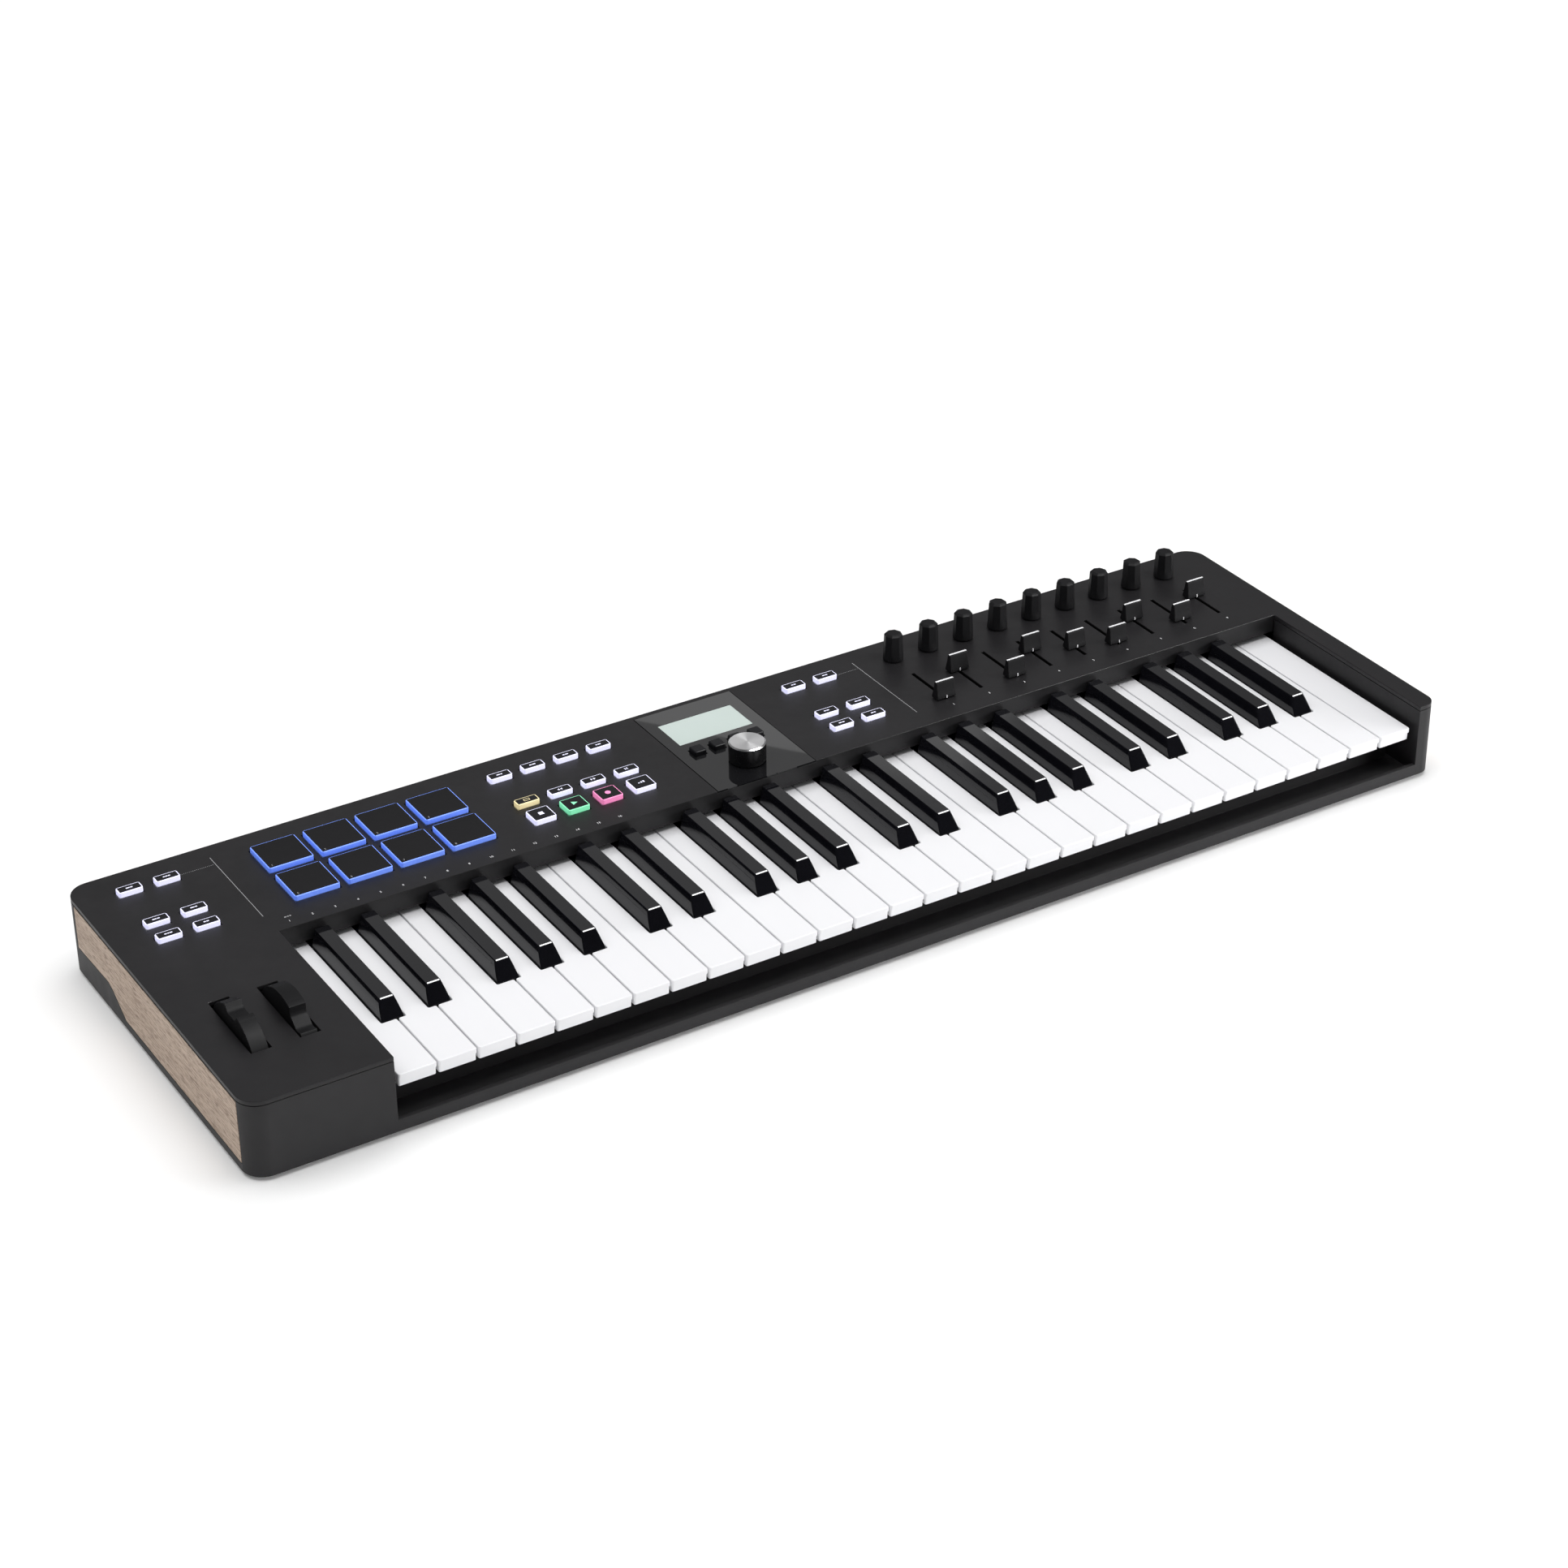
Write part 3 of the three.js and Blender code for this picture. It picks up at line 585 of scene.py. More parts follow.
def make_white_keys():
    lip = WHITE_TOP - LIP_HEIGHT
    pairs = [(0.35, WHITE_BOTTOM), (0.2, lip - 0.15), (0.1, lip), (0.02, lip + 0.15), (0.0, lip + 0.35)]
    pairs += edge_steps(lip + 0.4, WHITE_TOP, 0, 0.55, 4)[1:]
    for index, name in enumerate(WHITE_NAMES):
        mesh = add_outline_slab(bmesh.new(), white_outline(index), pairs)
        for vertex in mesh.verts:
            if vertex.co.z < lip + 0.1 and vertex.co.y < FIRST_WHITE[2] + 2:
                vertex.co.y += LIP_REACH if vertex.co.z < lip - 0.1 else LIP_REACH / 3
        piece = make_piece(f"white_{index + 1:02d}", mesh, name, "white_key", 42)
        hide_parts(name)


def add_black_key(mesh, centre):
    """A tall key: upright below, then drawn in to a narrow top with a bright chamfer round it."""
    def ring(half, front, z, corner=BLACK_CORNER):
        return rounded_rect(centre - half, centre + half, front, BLACK_REAR, z, corner, 8)

    rise = BLACK_TOP - WHITE_TOP
    last = (rise - BLACK_EDGE_DROP) / rise
    rings = [ring(BLACK_HALF, BLACK_FRONT, z) for z in (BLACK_BOTTOM, WHITE_TOP - 0.3)]
    for share in (0.0, 0.25, 0.5, 0.75, last):
        half = BLACK_HALF + (BLACK_TOP_HALF - BLACK_HALF) * share + BLACK_BULGE * math.sin(math.pi * share)
        front = BLACK_FRONT + BLACK_RUN * (share + 0.10 * share * (last - share))
        rings.append(ring(half, front, WHITE_TOP + rise * share))
    rings.append(ring(half - BLACK_SIDE_EDGE, front + BLACK_FRONT_EDGE, BLACK_TOP,
                      BLACK_CORNER - BLACK_SIDE_EDGE))
    return add_loft(mesh, rings)


def make_black_keys():
    """Five keys and the rail that joins them, for each octave."""
    for octave in range(4):
        body = f"black_keys_octave_{octave + 1}"
        left, right = node_box(body)[:2]
        centres = [white_boundary(octave * OCTAVE + place) + shift for place, shift in BLACK_PLACES]
        key_end = BLACK_REAR + 0.02
        corners = [(left, COMB_FRONT, 0.8)]
        for centre in centres:
            key_left, key_right = centre - BLACK_HALF, centre + BLACK_HALF
            corners += [(key_left, COMB_FRONT, 0.6), (key_left, key_end, 0.4),
                        (key_right, key_end, 0.4), (key_right, COMB_FRONT, 0.6)]
        corners += [(right, COMB_FRONT, 0.8), (right, COMB_REAR, 0.8), (left, COMB_REAR, 0.8)]
        edges = edge_steps(BLACK_BOTTOM, COMB_TOP, 0.3, 0.3)
        comb = add_outline_slab(bmesh.new(), round_polygon(corners), edges)
        rail = make_piece(f"black_comb_{octave + 1}", comb, body, "black_key")
        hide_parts(body)
        for number, centre in enumerate(centres):
            mesh = add_black_key(bmesh.new(), centre)
            make_piece(f"black_{octave + 1}_{number + 1}", mesh, body, "black_key", 16)


# ---------- wheels
WHEEL = {"y": -53.5, "z": 32.1, "radius": 30.0, "half": 4.8, "sector": 100, "hub": 12.0}
WHEEL_X = {"pitch_wheel": -363.75, "mod_wheel": -335.75}
WHEEL_REST = {"pitch_wheel": 0, "mod_wheel": 38}  # where the finger scoop stands at rest, in degrees
SCOOP = ((15.5, 30.0), (14.8, 29.9), (14.2, 29.4), (12, 27.2), (9.5, 25.9), (7, 25.4), (3, 25.3))
SCOOP_FLOOR = 25.3
RIB_STEP = 1.5  # degrees
RIB_DEPTH = 0.16


def wheel_outline():
    """Side view about the axle: finger scoop at the top, fine ribs each side of it, narrow hub below."""
    radius = WHEEL["radius"]
    points = []

    def at(degrees, reach):
        angle = math.radians(degrees)
        points.append(Vector((reach * math.sin(angle), reach * math.cos(angle))))

    def rim(angle, end):
        while angle < end:
            rib = 20 < abs(angle) < 64 and round(angle / RIB_STEP) % 2
            at(angle, radius - RIB_DEPTH if rib else radius)
            angle += RIB_STEP

    rim(-WHEEL["sector"], -16)
    for degrees, reach in SCOOP:
        at(-degrees, reach)
    at(0, SCOOP_FLOOR)
    for degrees, reach in reversed(SCOOP):
        at(degrees, reach)
    rim(18, WHEEL["sector"])
    for degrees in (112, 135, 157, 180, 203, 225, 248):
        at(degrees, WHEEL["hub"])
    return points[::-1]


def make_wheel(name):
    spin = Matrix.Rotation(math.radians(WHEEL_REST[name]), 4, "X")
    centre = Vector((WHEEL_X[name], WHEEL["y"], WHEEL["z"]))
    outline = wheel_outline()
    half = WHEEL["half"]
    mesh = bmesh.new()
    rings = []
    for inset, x in edge_steps(-half, half, 0.35, 0.35, 2):
        rings.append([(x, p.x, p.y) for p in inset_outline(outline, inset)])
    add_loft(mesh, rings)
    bmesh.ops.transform(mesh, matrix=spin, verts=mesh.verts)
    bmesh.ops.translate(mesh, vec=centre, verts=mesh.verts)
    piece = make_piece(f"{name}_disc", mesh, name, "wheel", 40)
    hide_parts(name)
    axle = add_turned(bmesh.new(), [(2.6, -7.8), (3.0, -7.4), (3.0, 7.4), (2.6, 7.8)], 24)
    lay = Matrix.Translation(centre) @ Matrix.Rotation(math.pi / 2, 4, "Y")
    bmesh.ops.transform(axle, matrix=lay, verts=axle.verts)
    make_piece(f"{name}_axle", axle, name, "metal")


# ---------- pads and buttons
def capped(width, depth, corner, edge):
    """Mesh of a silicone body about its top centre, reaching down to the mat."""
    low = MAT_TOP - BUTTON_TOP - 0.4
    return add_slab(bmesh.new(), -width / 2, width / 2, -depth / 2, depth / 2, low, -0.08, corner, edge)


def topping(width, depth, rim, corner):
    """Mesh of the opaque face let into the top, a hair above the rim."""
    return add_slab(bmesh.new(), -width / 2 + rim, width / 2 - rim, -depth / 2 + rim, depth / 2 - rim,
                    -0.6, 0.0, corner, 0.07)


def make_pads():
    web = add_slab(bmesh.new(), PAD_COLUMNS[0] - 2, PAD_COLUMNS[3] + PAD_SIZE + 2, PAD_ROWS[1] - 2,
                   PAD_ROWS[0] + PAD_SIZE + 2, MAT_BOTTOM, MAT_TOP, 1.5, 0.3)
    piece = make_piece("pad_web", web, "pad_mat", "inner")
    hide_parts("pad_mat")
    bodies = shared_mesh("pad_skirt", capped(PAD_SIZE, PAD_SIZE, 1.4, 0.45))
    faces = shared_mesh("pad_face", topping(PAD_SIZE, PAD_SIZE, PAD_RIM, 0.25))
    number = 0
    for y in PAD_ROWS:
        for x in PAD_COLUMNS:
            number += 1
            centre = (x + PAD_SIZE / 2, y + PAD_SIZE / 2, BUTTON_TOP)
            place_piece(f"pad_skirt_{number}", bodies, centre, "pad_mat", "pad_light")
            place_piece(f"pad_face_{number}", faces, centre, "pad_mat", "pad_face")
            mark = text_mesh(str(number), 1.7, x + 2.9, y + 2.5, BUTTON_TOP)
            make_piece(f"pad_number_{number}", mark, "pad_mat", "grey_ink")


def glyph(mesh, kind, cx, cy, z):
    """A mark on a button, in mm. Words are shown as short plain dashes."""
    top = z + PRINT_DEPTH
    low = z - 0.05

    def bar(x0, x1, y0, y1):
        add_box(mesh, cx + x0, cx + x1, cy + y0, cy + y1, low, top)

    def fill(points):
        add_loft(mesh, [[(cx + x, cy + y, level) for x, y in points] for level in (low, top)])

    if isinstance(kind, tuple):  # dashes of the given lengths
        start = -sum(kind) / 2 - 0.35 * (len(kind) - 1) / 2
        for length in kind:
            bar(start, start + length, -0.45, 0.45)
            start += length + 0.35
    elif kind == "stop":
        bar(-1.5, 1.5, -1.5, 1.5)
    elif kind == "play":
        fill([(-1.5, -1.9), (2.0, 0.0), (-1.5, 1.9)])
    elif kind == "record":
        fill([(1.8 * math.cos(a * math.pi / 12), 1.8 * math.sin(a * math.pi / 12)) for a in range(24)])
    elif kind in ("back", "ahead"):
        way = -1 if kind == "back" else 1
        for shift in (-1.6, 0.2):
            points = [(shift * way, -1.0), (shift * way + 1.4 * way, 0.0), (shift * way, 1.0)]
            fill(points if way > 0 else points[::-1])
    elif kind == "loop":
        bar(-1.9, 1.9, 0.75, 1.05)
        bar(-1.9, 1.9, -1.05, -0.75)
        bar(-1.9, -1.6, -0.75, 0.75)
        bar(1.6, 1.9, -0.75, 0.75)
    elif kind == "beat":
        for step in range(3):
            bar(-2.1 + 1.6 * step, -1.1 + 1.6 * step, -0.9, -0.1 + 0.5 * step)
    elif kind == "pulse":
        bar(-0.9, -0.5, -1.1, 1.1)
        bar(0.5, 0.9, -1.1, 1.1)
        bar(-0.5, 0.5, -0.2, 0.2)


WHITE = ("button_white",)
BUTTON_SETS = (  # columns, row, size, looks, marks
    (LEFT_COLUMNS, SIDE_ROWS[0], SMALL_BUTTON, WHITE * 2, ((1.4, 0.9, 1.6), (1.3, 1.5))),
    (LEFT_COLUMNS, SIDE_ROWS[1], SMALL_BUTTON, WHITE * 2, ((2.4, 1.6), (2.4, 1.2))),
    (LEFT_COLUMNS, SIDE_ROWS[2], SMALL_BUTTON, WHITE * 2, ((2.2, 1.4), (1.1, 1.2, 1.3))),
    (MIDDLE_COLUMNS, 96.3, SMALL_BUTTON, WHITE * 4, ((2.2, 1.2), (1.4, 2.2), (1.3, 1.9), (1.0, 2.0))),
    (MIDDLE_COLUMNS, 62.6, SMALL_BUTTON, ("button_yellow", *WHITE * 3), ("loop", "back", "ahead", "pulse")),
    (MIDDLE_COLUMNS, 41.5, LARGE_BUTTON, (*WHITE, "button_green", "button_pink", *WHITE),
     ("stop", "play", "record", "beat")),
    (RIGHT_COLUMNS, SIDE_ROWS[0], SMALL_BUTTON, WHITE * 2, ((2.0, 1.6), (1.6, 1.2))),
    (RIGHT_COLUMNS, SIDE_ROWS[1], SMALL_BUTTON, WHITE * 2, ((1.4, 1.8), (2.0, 2.2))),
    (RIGHT_COLUMNS, SIDE_ROWS[2], SMALL_BUTTON, WHITE * 2, ((1.2, 1.4), (1.3, 1.8))),
)


def make_buttons():
    spans = [(columns[0] - WEB_MARGIN, columns[-1] + SMALL_BUTTON[0] + WEB_MARGIN)
             for columns in (LEFT_COLUMNS, MIDDLE_COLUMNS, RIGHT_COLUMNS)]
    strips = [(*span, WEB_FRONT, WEB_REAR) for span in spans]
    strips.append((SCREEN_COLUMNS[0] - WEB_MARGIN, RIGHT_COLUMNS[0], 60, 69))
    strips.append((spans[0][0], spans[-1][1], 107, WEB_REAR))
    mesh = bmesh.new()
    for strip in strips:
        add_slab(mesh, *strip, MAT_BOTTOM, MAT_TOP, 0.6, 0.2)
    web = make_piece("button_web", mesh, "button_mat", "inner")
    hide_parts("button_mat")
    number = 0
    for columns, y, (width, depth), looks, marks in BUTTON_SETS:
        for x, look, mark in zip(columns, looks, marks):
            number += 1
            centre = (x + width / 2, y + depth / 2, BUTTON_TOP)
            body = shared_mesh(f"button_body_{number}", capped(width, depth, 1.3, 0.4))
            place_piece(f"button_body_{number}", body, centre, "button_mat", look)
            face = shared_mesh(f"button_face_{number}", topping(width, depth, BUTTON_RIM, 0.3))
            place_piece(f"button_face_{number}", face, centre, "button_mat", "button_face")
            ink = bmesh.new()
            glyph(ink, mark, *centre)
            make_piece(f"button_mark_{number}", ink, "button_mat", look)
    for index, x in enumerate(SCREEN_COLUMNS):
        body = add_slab(bmesh.new(), x, x + SCREEN_BUTTON, *SCREEN_ROW, MAT_TOP - 0.4, BUTTON_TOP, 1.2, 0.9)
        make_piece(f"screen_button_{index + 1}", body, "button_mat", "button_face")


# ---------- display
def make_display():
    """The dark window with its holes, and the display let into the largest."""
    ring = 0.4
    gap = 0.05
    holes = [LCD, ENCODER_HOLE]
    for x in SCREEN_COLUMNS:
        holes.append((x - ring, x + SCREEN_BUTTON + ring, SCREEN_ROW[0] - ring, SCREEN_ROW[1] + ring))
    lens = add_plate(bmesh.new(), *LENS, DECK_Z - 0.75, DECK_Z, holes)
    make_piece("display_window", lens, CASE, "lens", 30)
    panel = add_slab(bmesh.new(), LCD[0] + gap, LCD[1] - gap, LCD[2] + gap, LCD[3] - gap,
                     DECK_Z - 3.4, DECK_Z - 0.12, 0.3, 0.08)
    make_piece("display_panel", panel, CASE, "lcd", 30)


# ---------- knobs, faders, encoder
def facet_ring(radius, z, sides, amount, turn):
    """A ring that is a circle where amount is 0 and a polygon where it is 1."""
    ring = []
    count = 80
    for k in range(count):
        angle = 2 * math.pi * k / count
        part = (angle % (2 * math.pi / sides)) - math.pi / sides
        flat = math.cos(math.pi / sides) / math.cos(part)
        reach = radius * (1 + (flat - 1) * amount)
        ring.append((reach * math.cos(angle + turn), reach * math.sin(angle + turn), z))
    return ring


def make_knobs():
    for index in range(COUNT):
        body = f"knob_{index + 1}"
        x0, x1, y0, y1, z0, z1 = node_box(body)
        turn = math.radians(KNOB_TURNS[index])
        low = DECK_Z + 0.5
        profile = ((3.0, z0, 0), (3.0, low, 0), (6.0, low, 0), (6.35, low + 0.3, 0), (6.4, low + 0.8, 0),
                   (6.35, low + 2.5, 0.1), (6.3, low + 4.5, 0.7), (6.2, low + 6.5, 1.0),
                   (5.95, low + 12.0, 1.0), (5.75, z1 - 1.2, 1.0), (4.9, z1 - 0.45, 1.0), (4.0, z1, 1.0))
        rings = [facet_ring(radius, z, KNOB_SIDES, amount, turn) for radius, z, amount in profile]
        mesh = add_loft(bmesh.new(), rings)
        bmesh.ops.translate(mesh, vec=((x0 + x1) / 2, (y0 + y1) / 2, 0), verts=mesh.verts)
        piece = make_piece(f"knob_cap_{index + 1}", mesh, body, "cap", 14)
        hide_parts(body)


def make_faders():
    """For each fader: cap, stem through the slot, line across the top and tick on the front."""
    for index in range(COUNT):
        body = f"fader_{index + 1}"
        x0, x1, y0, y1, z0, z1 = node_box(body)
        cx, cy = (x0 + x1) / 2, (y0 + y1) / 2
        half, low = (x1 - x0) / 2, DECK_Z + 0.6
        rings = []
        for width, depth, z in ((half - 0.3, 2.9, low), (half, 3.2, low + 0.3), (half, 3.2, low + 1.5),
                                (half - 0.1, 2.75, low + 3.0), (half - 0.25, 2.2, low + 5.5),
                                (half - 0.3, 1.7, low + 8.2), (half - 0.32, 1.35, z1 - 0.9),
                                (half - 0.36, 1.15, z1 - 0.4), (half - 0.6, 0.85, z1 - 0.12)):
            rings.append(rounded_rect(cx - width, cx + width, cy - depth, cy + depth, z, 0.7))
        cap = add_loft(bmesh.new(), rings)
        piece = make_piece(f"fader_cap_{index + 1}", cap, body, "cap", 40)
        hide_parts(body)
        stem = add_slab(bmesh.new(), cx - 0.7, cx + 0.7, cy - 1.5, cy + 1.5, DECK_Z - 6, low + 0.8, 0.3, 0.2)
        add_slab(stem, cx - 3, cx + 3, cy - 3, cy + 3, z0, DECK_Z - 5.5, 0.4, 0.3)
        make_piece(f"fader_stem_{index + 1}", stem, body, "inner")
        line = bmesh.new()
        reach = half - 0.75
        rings = [[(x, cy - 1.0, z1 - drop - 0.62), (x, cy + 0.9, z1 - drop - 0.62), (x, cy + 0.55, z1 - drop),
                  (x, cy - 0.62, z1 - drop)]
                 for x, drop in ((cx - reach - 0.38, 1.1), (cx - reach - 0.28, 0.35), (cx - reach, 0.03),
                                 (cx, 0.0), (cx + reach, 0.03), (cx + reach + 0.28, 0.35))]
        add_loft(line, rings)
        make_piece(f"fader_line_{index + 1}", line, body, "ink", 40)
        tick = add_box(bmesh.new(), cx - 0.32, cx + 0.32, cy - 3.5, cy - 2.5, low + 0.3, low + 2.0)
        make_piece(f"fader_tick_{index + 1}", tick, body, "ink", 40)


def make_slot_linings():
    """Black walls inside the nine fader slots, as painted shade."""
    for index in range(COUNT):
        x0, x1 = node_box(f"knob_{index + 1}")[:2]
        left, right = (x0 + x1) / 2 - SLOT_HALF, (x0 + x1) / 2 + SLOT_HALF
        hole = (left + SLOT_SKIN, right - SLOT_SKIN, SLOT_FRONT + SLOT_SKIN, SLOT_REAR - SLOT_SKIN)
        shade_wall = add_plate(bmesh.new(), left, right, SLOT_FRONT, SLOT_REAR,
                           DECK_Z - 3.0, DECK_Z - 0.3, [hole])
        # painted shade: matte black walls where the slot would only be in shade
        make_piece(f"slot_shade_wall_{index + 1}", shade_wall, CASE, "inner", 30)


ENCODER_SIDES = 96


def make_encoder():
    x0, x1, y0, y1, z0, z1 = node_box("encoder_knob")
    radius = (x1 - x0) / 2
    centre = ((x0 + x1) / 2, (y0 + y1) / 2, 0)
    low = DECK_Z + 0.6
    side = [(3.4, z0), (3.4, low), (radius - 0.4, low), (radius, low + 0.4),
            (radius, z1 - 1.1), (radius - 0.12, z1 - 0.95), (radius - 0.5, z1 - 0.9)]
    skirt = add_turned(bmesh.new(), side, ENCODER_SIDES)
    bmesh.ops.translate(skirt, vec=centre, verts=skirt.verts)
    piece = make_piece("encoder_skirt", skirt, "encoder_knob", "encoder_side")
    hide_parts("encoder_knob")
    dish = [(radius - 0.7, z1 - 1.4), (radius - 0.1, z1 - 1.2), (radius - 0.1, z1 - 0.75),
            (radius - 0.75, z1 - 0.12), (radius - 0.95, z1 - 0.03), (8.0, z1 - 0.05),
            (4.0, z1 - 0.07), (0.6, z1 - 0.08)]
    data = shared_mesh("encoder_disc", add_turned(bmesh.new(), dish, ENCODER_SIDES))
    place_piece("encoder_disc", data, centre, "encoder_knob", "encoder_top", 25)


# ---------- printing on the deck
def text_mesh(text, size, x, y, z):
    """Flat figures of about the given height as a thin body, centred on x and y."""
    curve = bpy.data.curves.new("figures", "FONT")
    curve.body = text
    curve.size = size * 1.4
    curve.align_x = "CENTER"
    curve.align_y = "CENTER"
    curve.extrude = PRINT_DEPTH
    curve.resolution_u = 4
    holder = bpy.data.objects.new("figures", curve)
    bpy.context.scene.collection.objects.link(holder)
    bpy.context.view_layer.update()
    data = bpy.data.meshes.new_from_object(holder.evaluated_get(bpy.context.evaluated_depsgraph_get()))
    bpy.data.objects.remove(holder)
    mesh = bmesh.new()
    mesh.from_mesh(data)
    bpy.data.meshes.remove(data)
    bmesh.ops.remove_doubles(mesh, verts=mesh.verts, dist=0.0005)
    bmesh.ops.translate(mesh, vec=(x, y, z), verts=mesh.verts)
    return mesh


def add_line(mesh, x0, x1, y0, y1):
    add_box(mesh, x0, x1, y0, y1, DECK_Z - 0.1, DECK_Z + PRINT_DEPTH)


CHANNELS = {"count": 16, "first": -299.15, "pitch": 13.83, "y": 25.2}
FADER_FIGURES_Y = 31.7
DIVIDERS = ((-309.83, -309.47, 37, 109), (119.07, 119.43, 35.5, 108))
DOTTED_LINES = ((-331.25, -310.35, 101.2), (103.65, 118.75, 100.2))  # x0, x1, y
DOT = {"length": 0.45, "pitch": 1.1, "half": 0.18}
WORD_DASHES = ((-300.2, 1.3), (-298.5, 0.9), (-297.2, 1.1))  # in place of a word: x, length


def make_prints():
    def figure(name, value, x, y):
        make_piece(name, text_mesh(str(value), FIGURE_SIZE, x, y, DECK_Z), CASE, "ink")

    for k in range(CHANNELS["count"]):
        figure(f"channel_number_{k + 1}", k + 1, CHANNELS["first"] + CHANNELS["pitch"] * k, CHANNELS["y"])
    for k in range(COUNT):
        x0, x1 = node_box(f"knob_{k + 1}")[:2]
        figure(f"fader_number_{k + 1}", k + 1, (x0 + x1) / 2, FADER_FIGURES_Y)
    lines = bmesh.new()
    for divider in DIVIDERS:
        add_line(lines, *divider)
    for x, end, y in DOTTED_LINES:
        while x < end:
            add_line(lines, x, x + DOT["length"], y - DOT["half"], y + DOT["half"])
            x += DOT["pitch"]
    for x, length in WORD_DASHES:
        add_line(lines, x, x + length, 29.5, 30.4)
    make_piece("deck_lines", lines, CASE, "grey_ink")


# ---------- rear and underside
SOCKET_Z = 26
JACK_X = -300
MIDI_X = -330
USB_X = -358
USB = {"half_width": 4.4, "half_height": 1.9, "corner": 1.85, "wall": 0.35}


def make_sockets():
    turn = Matrix.Rotation(-math.pi / 2, 4, "X")

    def stand(mesh, x):
        """Turn a mesh drawn along z to lie along y, about a socket's axis."""
        bmesh.ops.transform(mesh, matrix=Matrix.Translation((x, 0, SOCKET_Z)) @ turn, verts=mesh.verts)
        return mesh

    def tube(name, x, outer, inner, depth):
        """A ring open at the rear with a floor at the front."""
        floor, mouth = CASE_REAR - depth, CASE_REAR - 0.1
        profile = [(outer, floor), (outer, mouth), (inner, mouth), (inner, floor + 1.2)]
        make_piece(name, stand(add_turned(bmesh.new(), profile, 40), x), CASE, "metal")

    tube("jack_bush", JACK_X, 5.3, 3.3, 11)
    tube("midi_shell", MIDI_X, 7.5, 6.5, 9)
    profile = [(6.0, CASE_REAR - 8), (6.0, CASE_REAR - 3.2), (5.7, CASE_REAR - 3)]
    make_piece("midi_insert", stand(add_turned(bmesh.new(), profile, 40), MIDI_X), CASE, "inner")
    pins = bmesh.new()
    for k in range(5):
        angle = math.radians(180 + 45 * k)
        add_turned(pins, [(0.7, CASE_REAR - 3.1), (0.7, CASE_REAR - 1.6), (0.4, CASE_REAR - 1.4)], 12,
                   4.0 * math.cos(angle), -4.0 * math.sin(angle))
    make_piece("midi_pins", stand(pins, MIDI_X), CASE, "metal")
    width, height, wall = USB["half_width"], USB["half_height"], USB["wall"]
    section = rounded_rect(-width, width, -height, height, 0, USB["corner"], 6)
    rings = []
    for grow, depth in ((0.0, 7), (0.0, 0.15), (-wall, 0.1), (-wall, 5)):
        rings.append([(USB_X + x * (1 + grow / width), CASE_REAR - depth, SOCKET_Z - y * (1 + grow / height))
                      for x, y, _ in section])
    make_piece("usb_shell", add_loft(bmesh.new(), rings), CASE, "metal")
    tongue = add_slab(bmesh.new(), USB_X - 3, USB_X + 3, CASE_REAR - 4.9, CASE_REAR - 1.2,
                      SOCKET_Z - 0.35, SOCKET_Z + 0.35, 0.3, 0.15, 0.15)
    make_piece("usb_tongue", tongue, CASE, "inner")


SCREW_PLACES = ((-345, 116.6), (-200, 116.6), (-50, 116.6), (50, 116.6), (200, 116.6), (345, 116.6),
                (-378, -60), (-378, 40), (-320, -112))
SCREW_PROFILE = [(1.4, 2.7), (2.4, 2.75), (2.9, 3.05), (3.0, 3.6), (1.25, 3.65), (1.25, 18)]


def make_screws():
    """Pan heads in the underside, each with a black cross of painted shade where a cross recess would be."""
    cross = [(-1.3, -0.3), (-0.3, -0.3), (-0.3, -1.3), (0.3, -1.3), (0.3, -0.3), (1.3, -0.3),
             (1.3, 0.3), (0.3, 0.3), (0.3, 1.3), (-0.3, 1.3), (-0.3, 0.3), (-1.3, 0.3)]
    for number, (x, y) in enumerate(SCREW_PLACES):
        mesh = add_turned(bmesh.new(), SCREW_PROFILE, 32, x, y)
        make_piece(f"screw_{number + 1}", mesh, CASE, "screw")
        # painted shade: a thin black cross on the head, not a cut recess
        slot = add_loft(bmesh.new(), [[(x + u, y + v, z) for u, v in cross] for z in (2.66, 2.9)])
        make_piece(f"screw_recess_shade_{number + 1}", slot, CASE, "inner")


# ---------- studio
CAMERA = {"place": (-0.92168, -1.51492, 1.10512), "azimuth": -31.41, "elevation": 30.63, "roll": -0.443,
          "lens": 81.64, "sensor": 36.0}


def make_camera():
    azimuth, elevation, roll = (math.radians(CAMERA[key]) for key in ("azimuth", "elevation", "roll"))
    back = Vector((math.sin(azimuth) * math.cos(elevation), -math.cos(azimuth) * math.cos(elevation),
                   math.sin(elevation)))
    right = Vector((math.cos(azimuth), math.sin(azimuth), 0))
    up = back.cross(right)
    right, up = (math.cos(roll) * right + math.sin(roll) * up, -math.sin(roll) * right + math.cos(roll) * up)
    data = bpy.data.cameras.new("camera")
    data.lens = CAMERA["lens"]
    data.sensor_width = CAMERA["sensor"]
    data.clip_start = 0.01
    data.clip_end = 60
    camera = bpy.data.objects.new("camera", data)
    bpy.context.scene.collection.objects.link(camera)
    turn = Matrix((right, up, back)).transposed().to_4x4()
    camera.matrix_world = Matrix.Translation(CAMERA["place"]) @ turn
    bpy.context.scene.camera = camera


def area_light(name, size, power):
    """A rectangular lamp at the origin, unseen by the camera."""
    data = bpy.data.lights.new(name, "AREA")
    data.shape = "RECTANGLE"
    data.size, data.size_y = size
    data.energy = power
    light = bpy.data.objects.new(name, data)
    bpy.context.scene.collection.objects.link(light)
    light.visible_camera = False
    return light


def aimed_light(name, place, target, size, power):
    light = area_light(name, size, power)
    light.location = place
    light.rotation_euler = (Vector(target) - Vector(place)).to_track_quat("-Z", "Y").to_euler()
    return light


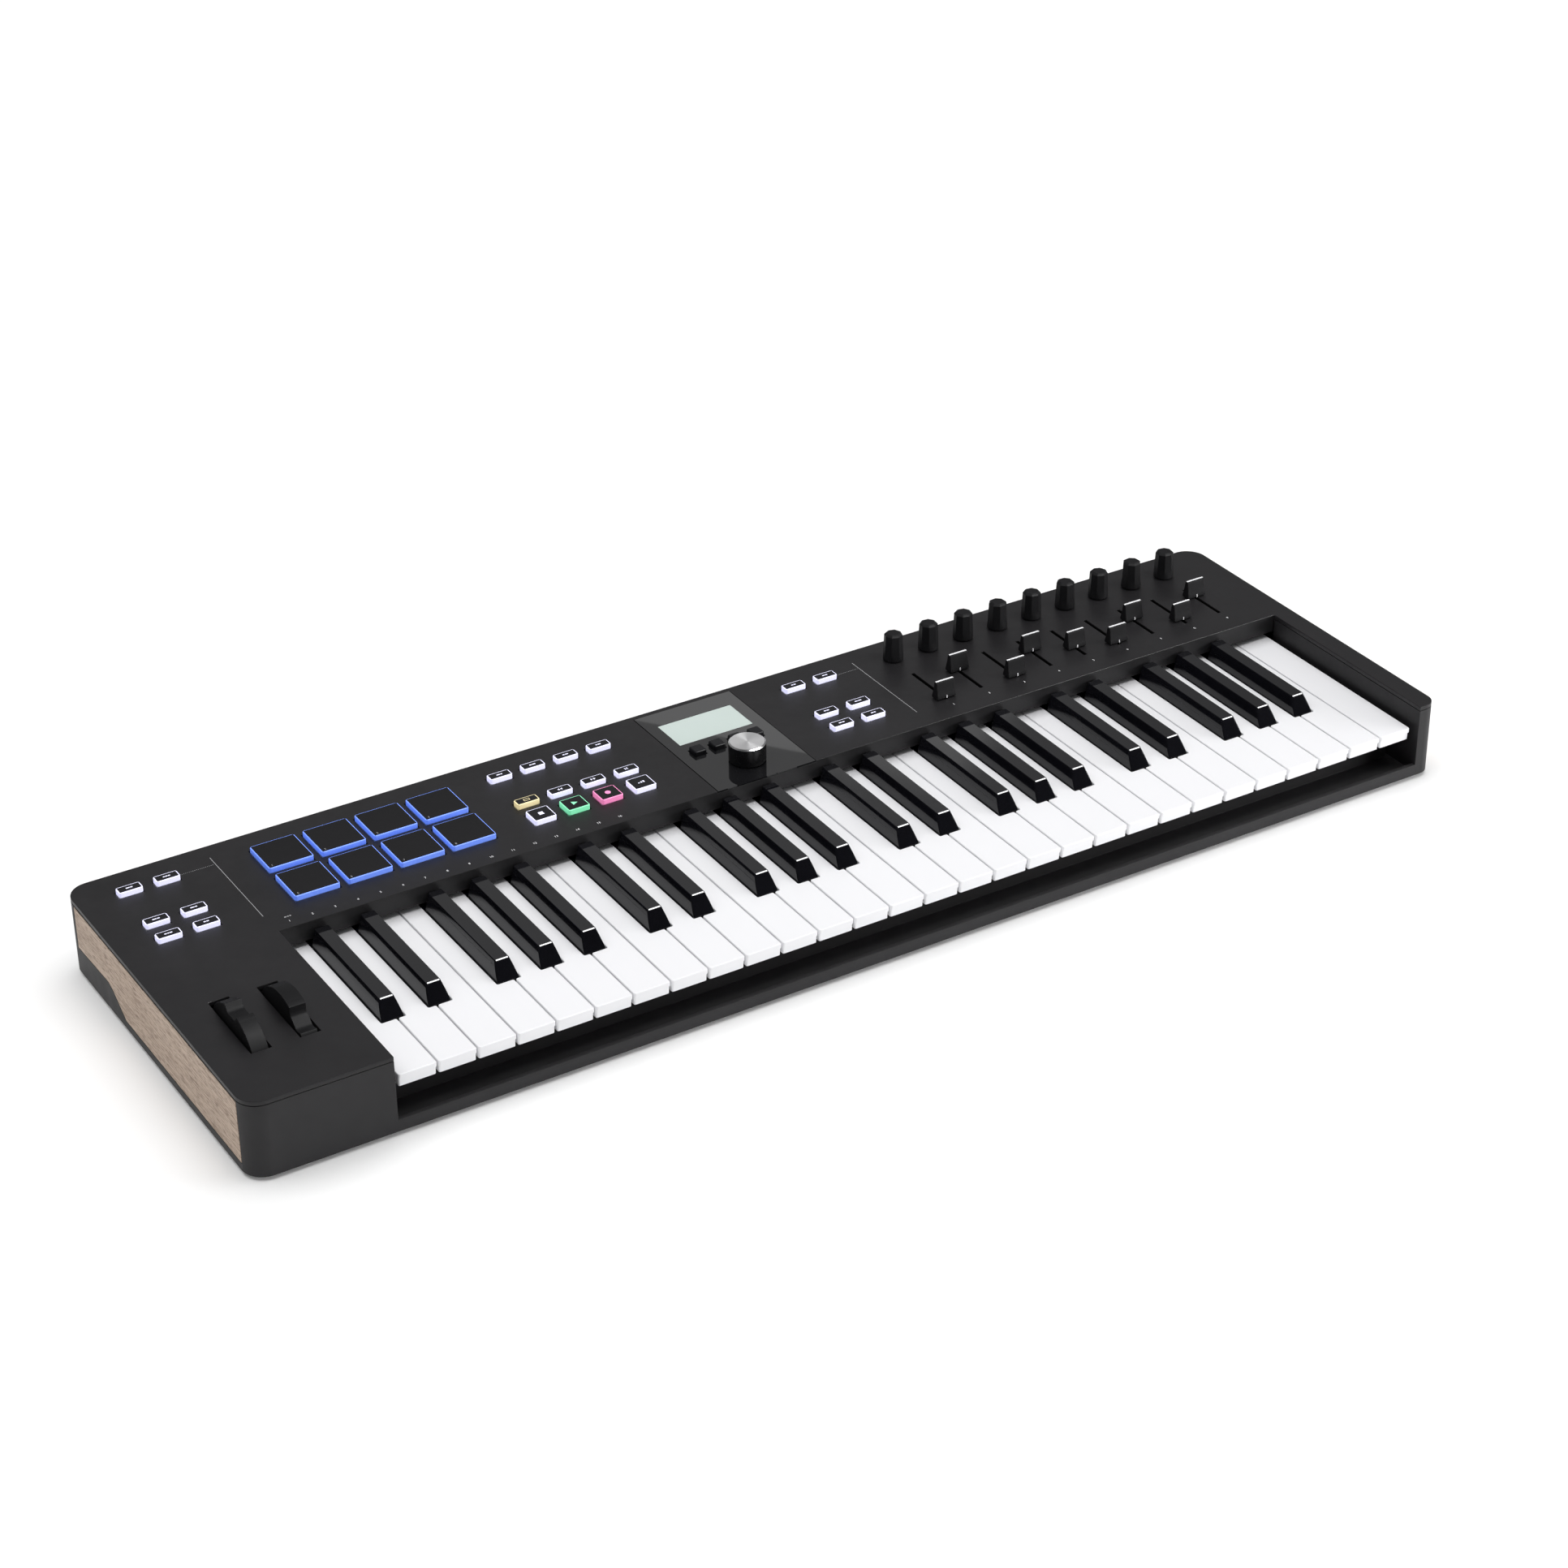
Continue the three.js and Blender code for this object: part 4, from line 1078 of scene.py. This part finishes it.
def window_card():
    """A soft light whose straight edge is mirrored across the display window, from corner to corner."""
    height = 1.5
    depth = 0.5
    mirror_z = DECK_Z * MM
    eye = Vector(CAMERA["place"])
    eye.z = 2 * mirror_z - eye.z
    stretch = (height - eye.z) / (mirror_z - eye.z)
    ends = [eye + (Vector((x * MM, y * MM, mirror_z)) - eye) * stretch
            for x, y in ((LENS[0], LENS[3]), (LENS[1] - 0.1, 29.0))]
    along = (ends[1] - ends[0]).normalized()
    across = Vector((-along.y, along.x, 0))
    centre = (ends[0] + ends[1]) / 2 + across * depth / 2
    card = area_light("window_card", (0.7, depth), 0.62)
    facing = Matrix((along, across, Vector((0, 0, 1)))).transposed().to_4x4()
    card.matrix_world = Matrix.Translation(centre) @ facing
    card.visible_diffuse = False


def blend_value(tree, factor, low, high):
    """low where factor is 0, high where it is 1; each is a number or a socket."""
    made = add_node(tree, "ShaderNodeMix", {"Factor": factor, "A": low, "B": high}, data_type="FLOAT")
    return made.outputs[0]


GLOW_DIRECTION = (0.296, 0.814, 0.5)  # behind the object, upwards
FLOOR_REACH = 14000  # mm from the middle to each side


def world_level(tree):
    """White studio: bright behind the object and dim in front in reflections, even otherwise."""
    where = add_node(tree, "ShaderNodeTexCoord").outputs["Generated"]
    forward = add_node(tree, "ShaderNodeSeparateXYZ", {"Vector": where}).outputs["Y"]
    dim = add_node(tree, "ShaderNodeMapRange", {"Value": forward, "From Min": -0.4, "From Max": 0.4,
                                                "To Min": 0.03, "To Max": 0.16}).outputs["Result"]
    toward = add_node(tree, "ShaderNodeVectorMath", {0: where, 1: GLOW_DIRECTION}, operation="DOT_PRODUCT")
    glow = add_node(tree, "ShaderNodeMapRange", {"Value": toward.outputs["Value"], "From Min": 0.93,
                                                 "From Max": 0.985, "To Min": 0.0, "To Max": 0.38})
    mirrored = add_node(tree, "ShaderNodeMath", {0: dim, 1: glow.outputs["Result"]}, operation="ADD")
    path = add_node(tree, "ShaderNodeLightPath")
    unseen = blend_value(tree, path.outputs["Is Glossy Ray"], 0.34, mirrored.outputs[0])
    return blend_value(tree, path.outputs["Is Camera Ray"], unseen, 1.0)


def make_studio():
    scene = bpy.context.scene
    scene.view_settings.view_transform = "Standard"
    world = bpy.data.worlds.new("studio")
    scene.world = world
    world.use_nodes = True
    tree = world.node_tree
    background = tree.nodes["Background"]
    background.inputs["Color"].default_value = (1, 1, 1, 1)
    tree.links.new(world_level(tree), background.inputs["Strength"])
    make_floor()
    key = aimed_light("key_light", (-0.2, 0.3, 2.3), (-0.2, 0.3, 0), (3.6, 2.2), 60)
    key.visible_glossy = False
    aimed_light("side_light", (1.4, -1.0, 0.3), (0.2, -0.1, 0.03), (0.9, 0.4), 16)
    strip = aimed_light("strip_light", (1.05, -0.93, 1.95), (1.05, -0.93, 0), (2.0, 0.42), 100)
    strip.visible_diffuse = False
    window_card()


def make_floor():
    """Pale paper that takes soft shadows near the object and is even white further off."""
    mesh = bmesh.new()
    corners = ((-1, -1), (1, -1), (1, 1), (-1, 1))
    mesh.faces.new([mesh.verts.new((x * FLOOR_REACH, y * FLOOR_REACH, 0)) for x, y in corners])
    data = shared_mesh("floor", mesh)
    floor = bpy.data.objects.new("floor", data)
    bpy.context.scene.collection.objects.link(floor)
    material, tree, principled = start_material("floor_paper", Roughness=0.9, Specular_IOR_Level=0.1)
    paper = vary(tree, noise(tree, 6, 2), (0.95, 0.95, 0.95), (0.97, 0.97, 0.97))
    principled.inputs["Emission Color"].default_value = (1, 1, 1, 1)
    place = add_node(tree, "ShaderNodeTexCoord").outputs["Object"]
    distance = add_node(tree, "ShaderNodeVectorMath", {0: place}, operation="LENGTH").outputs["Value"]
    far = add_node(tree, "ShaderNodeMapRange", {"Value": distance, "From Min": 1.0, "From Max": 4.0,
                                                "To Min": 0.06, "To Max": 1.0}).outputs["Result"]
    feed(tree, principled, Base_Color=paper, Emission_Strength=far)
    data.materials.append(material)


# ---------- assembly
dress_case()
make_white_keys()
make_black_keys()
for wheel in WHEEL_X:
    make_wheel(wheel)
make_pads()
make_buttons()
make_display()
make_knobs()
make_faders()
make_slot_linings()
make_encoder()
make_prints()
make_sockets()
make_screws()
make_studio()
make_camera()
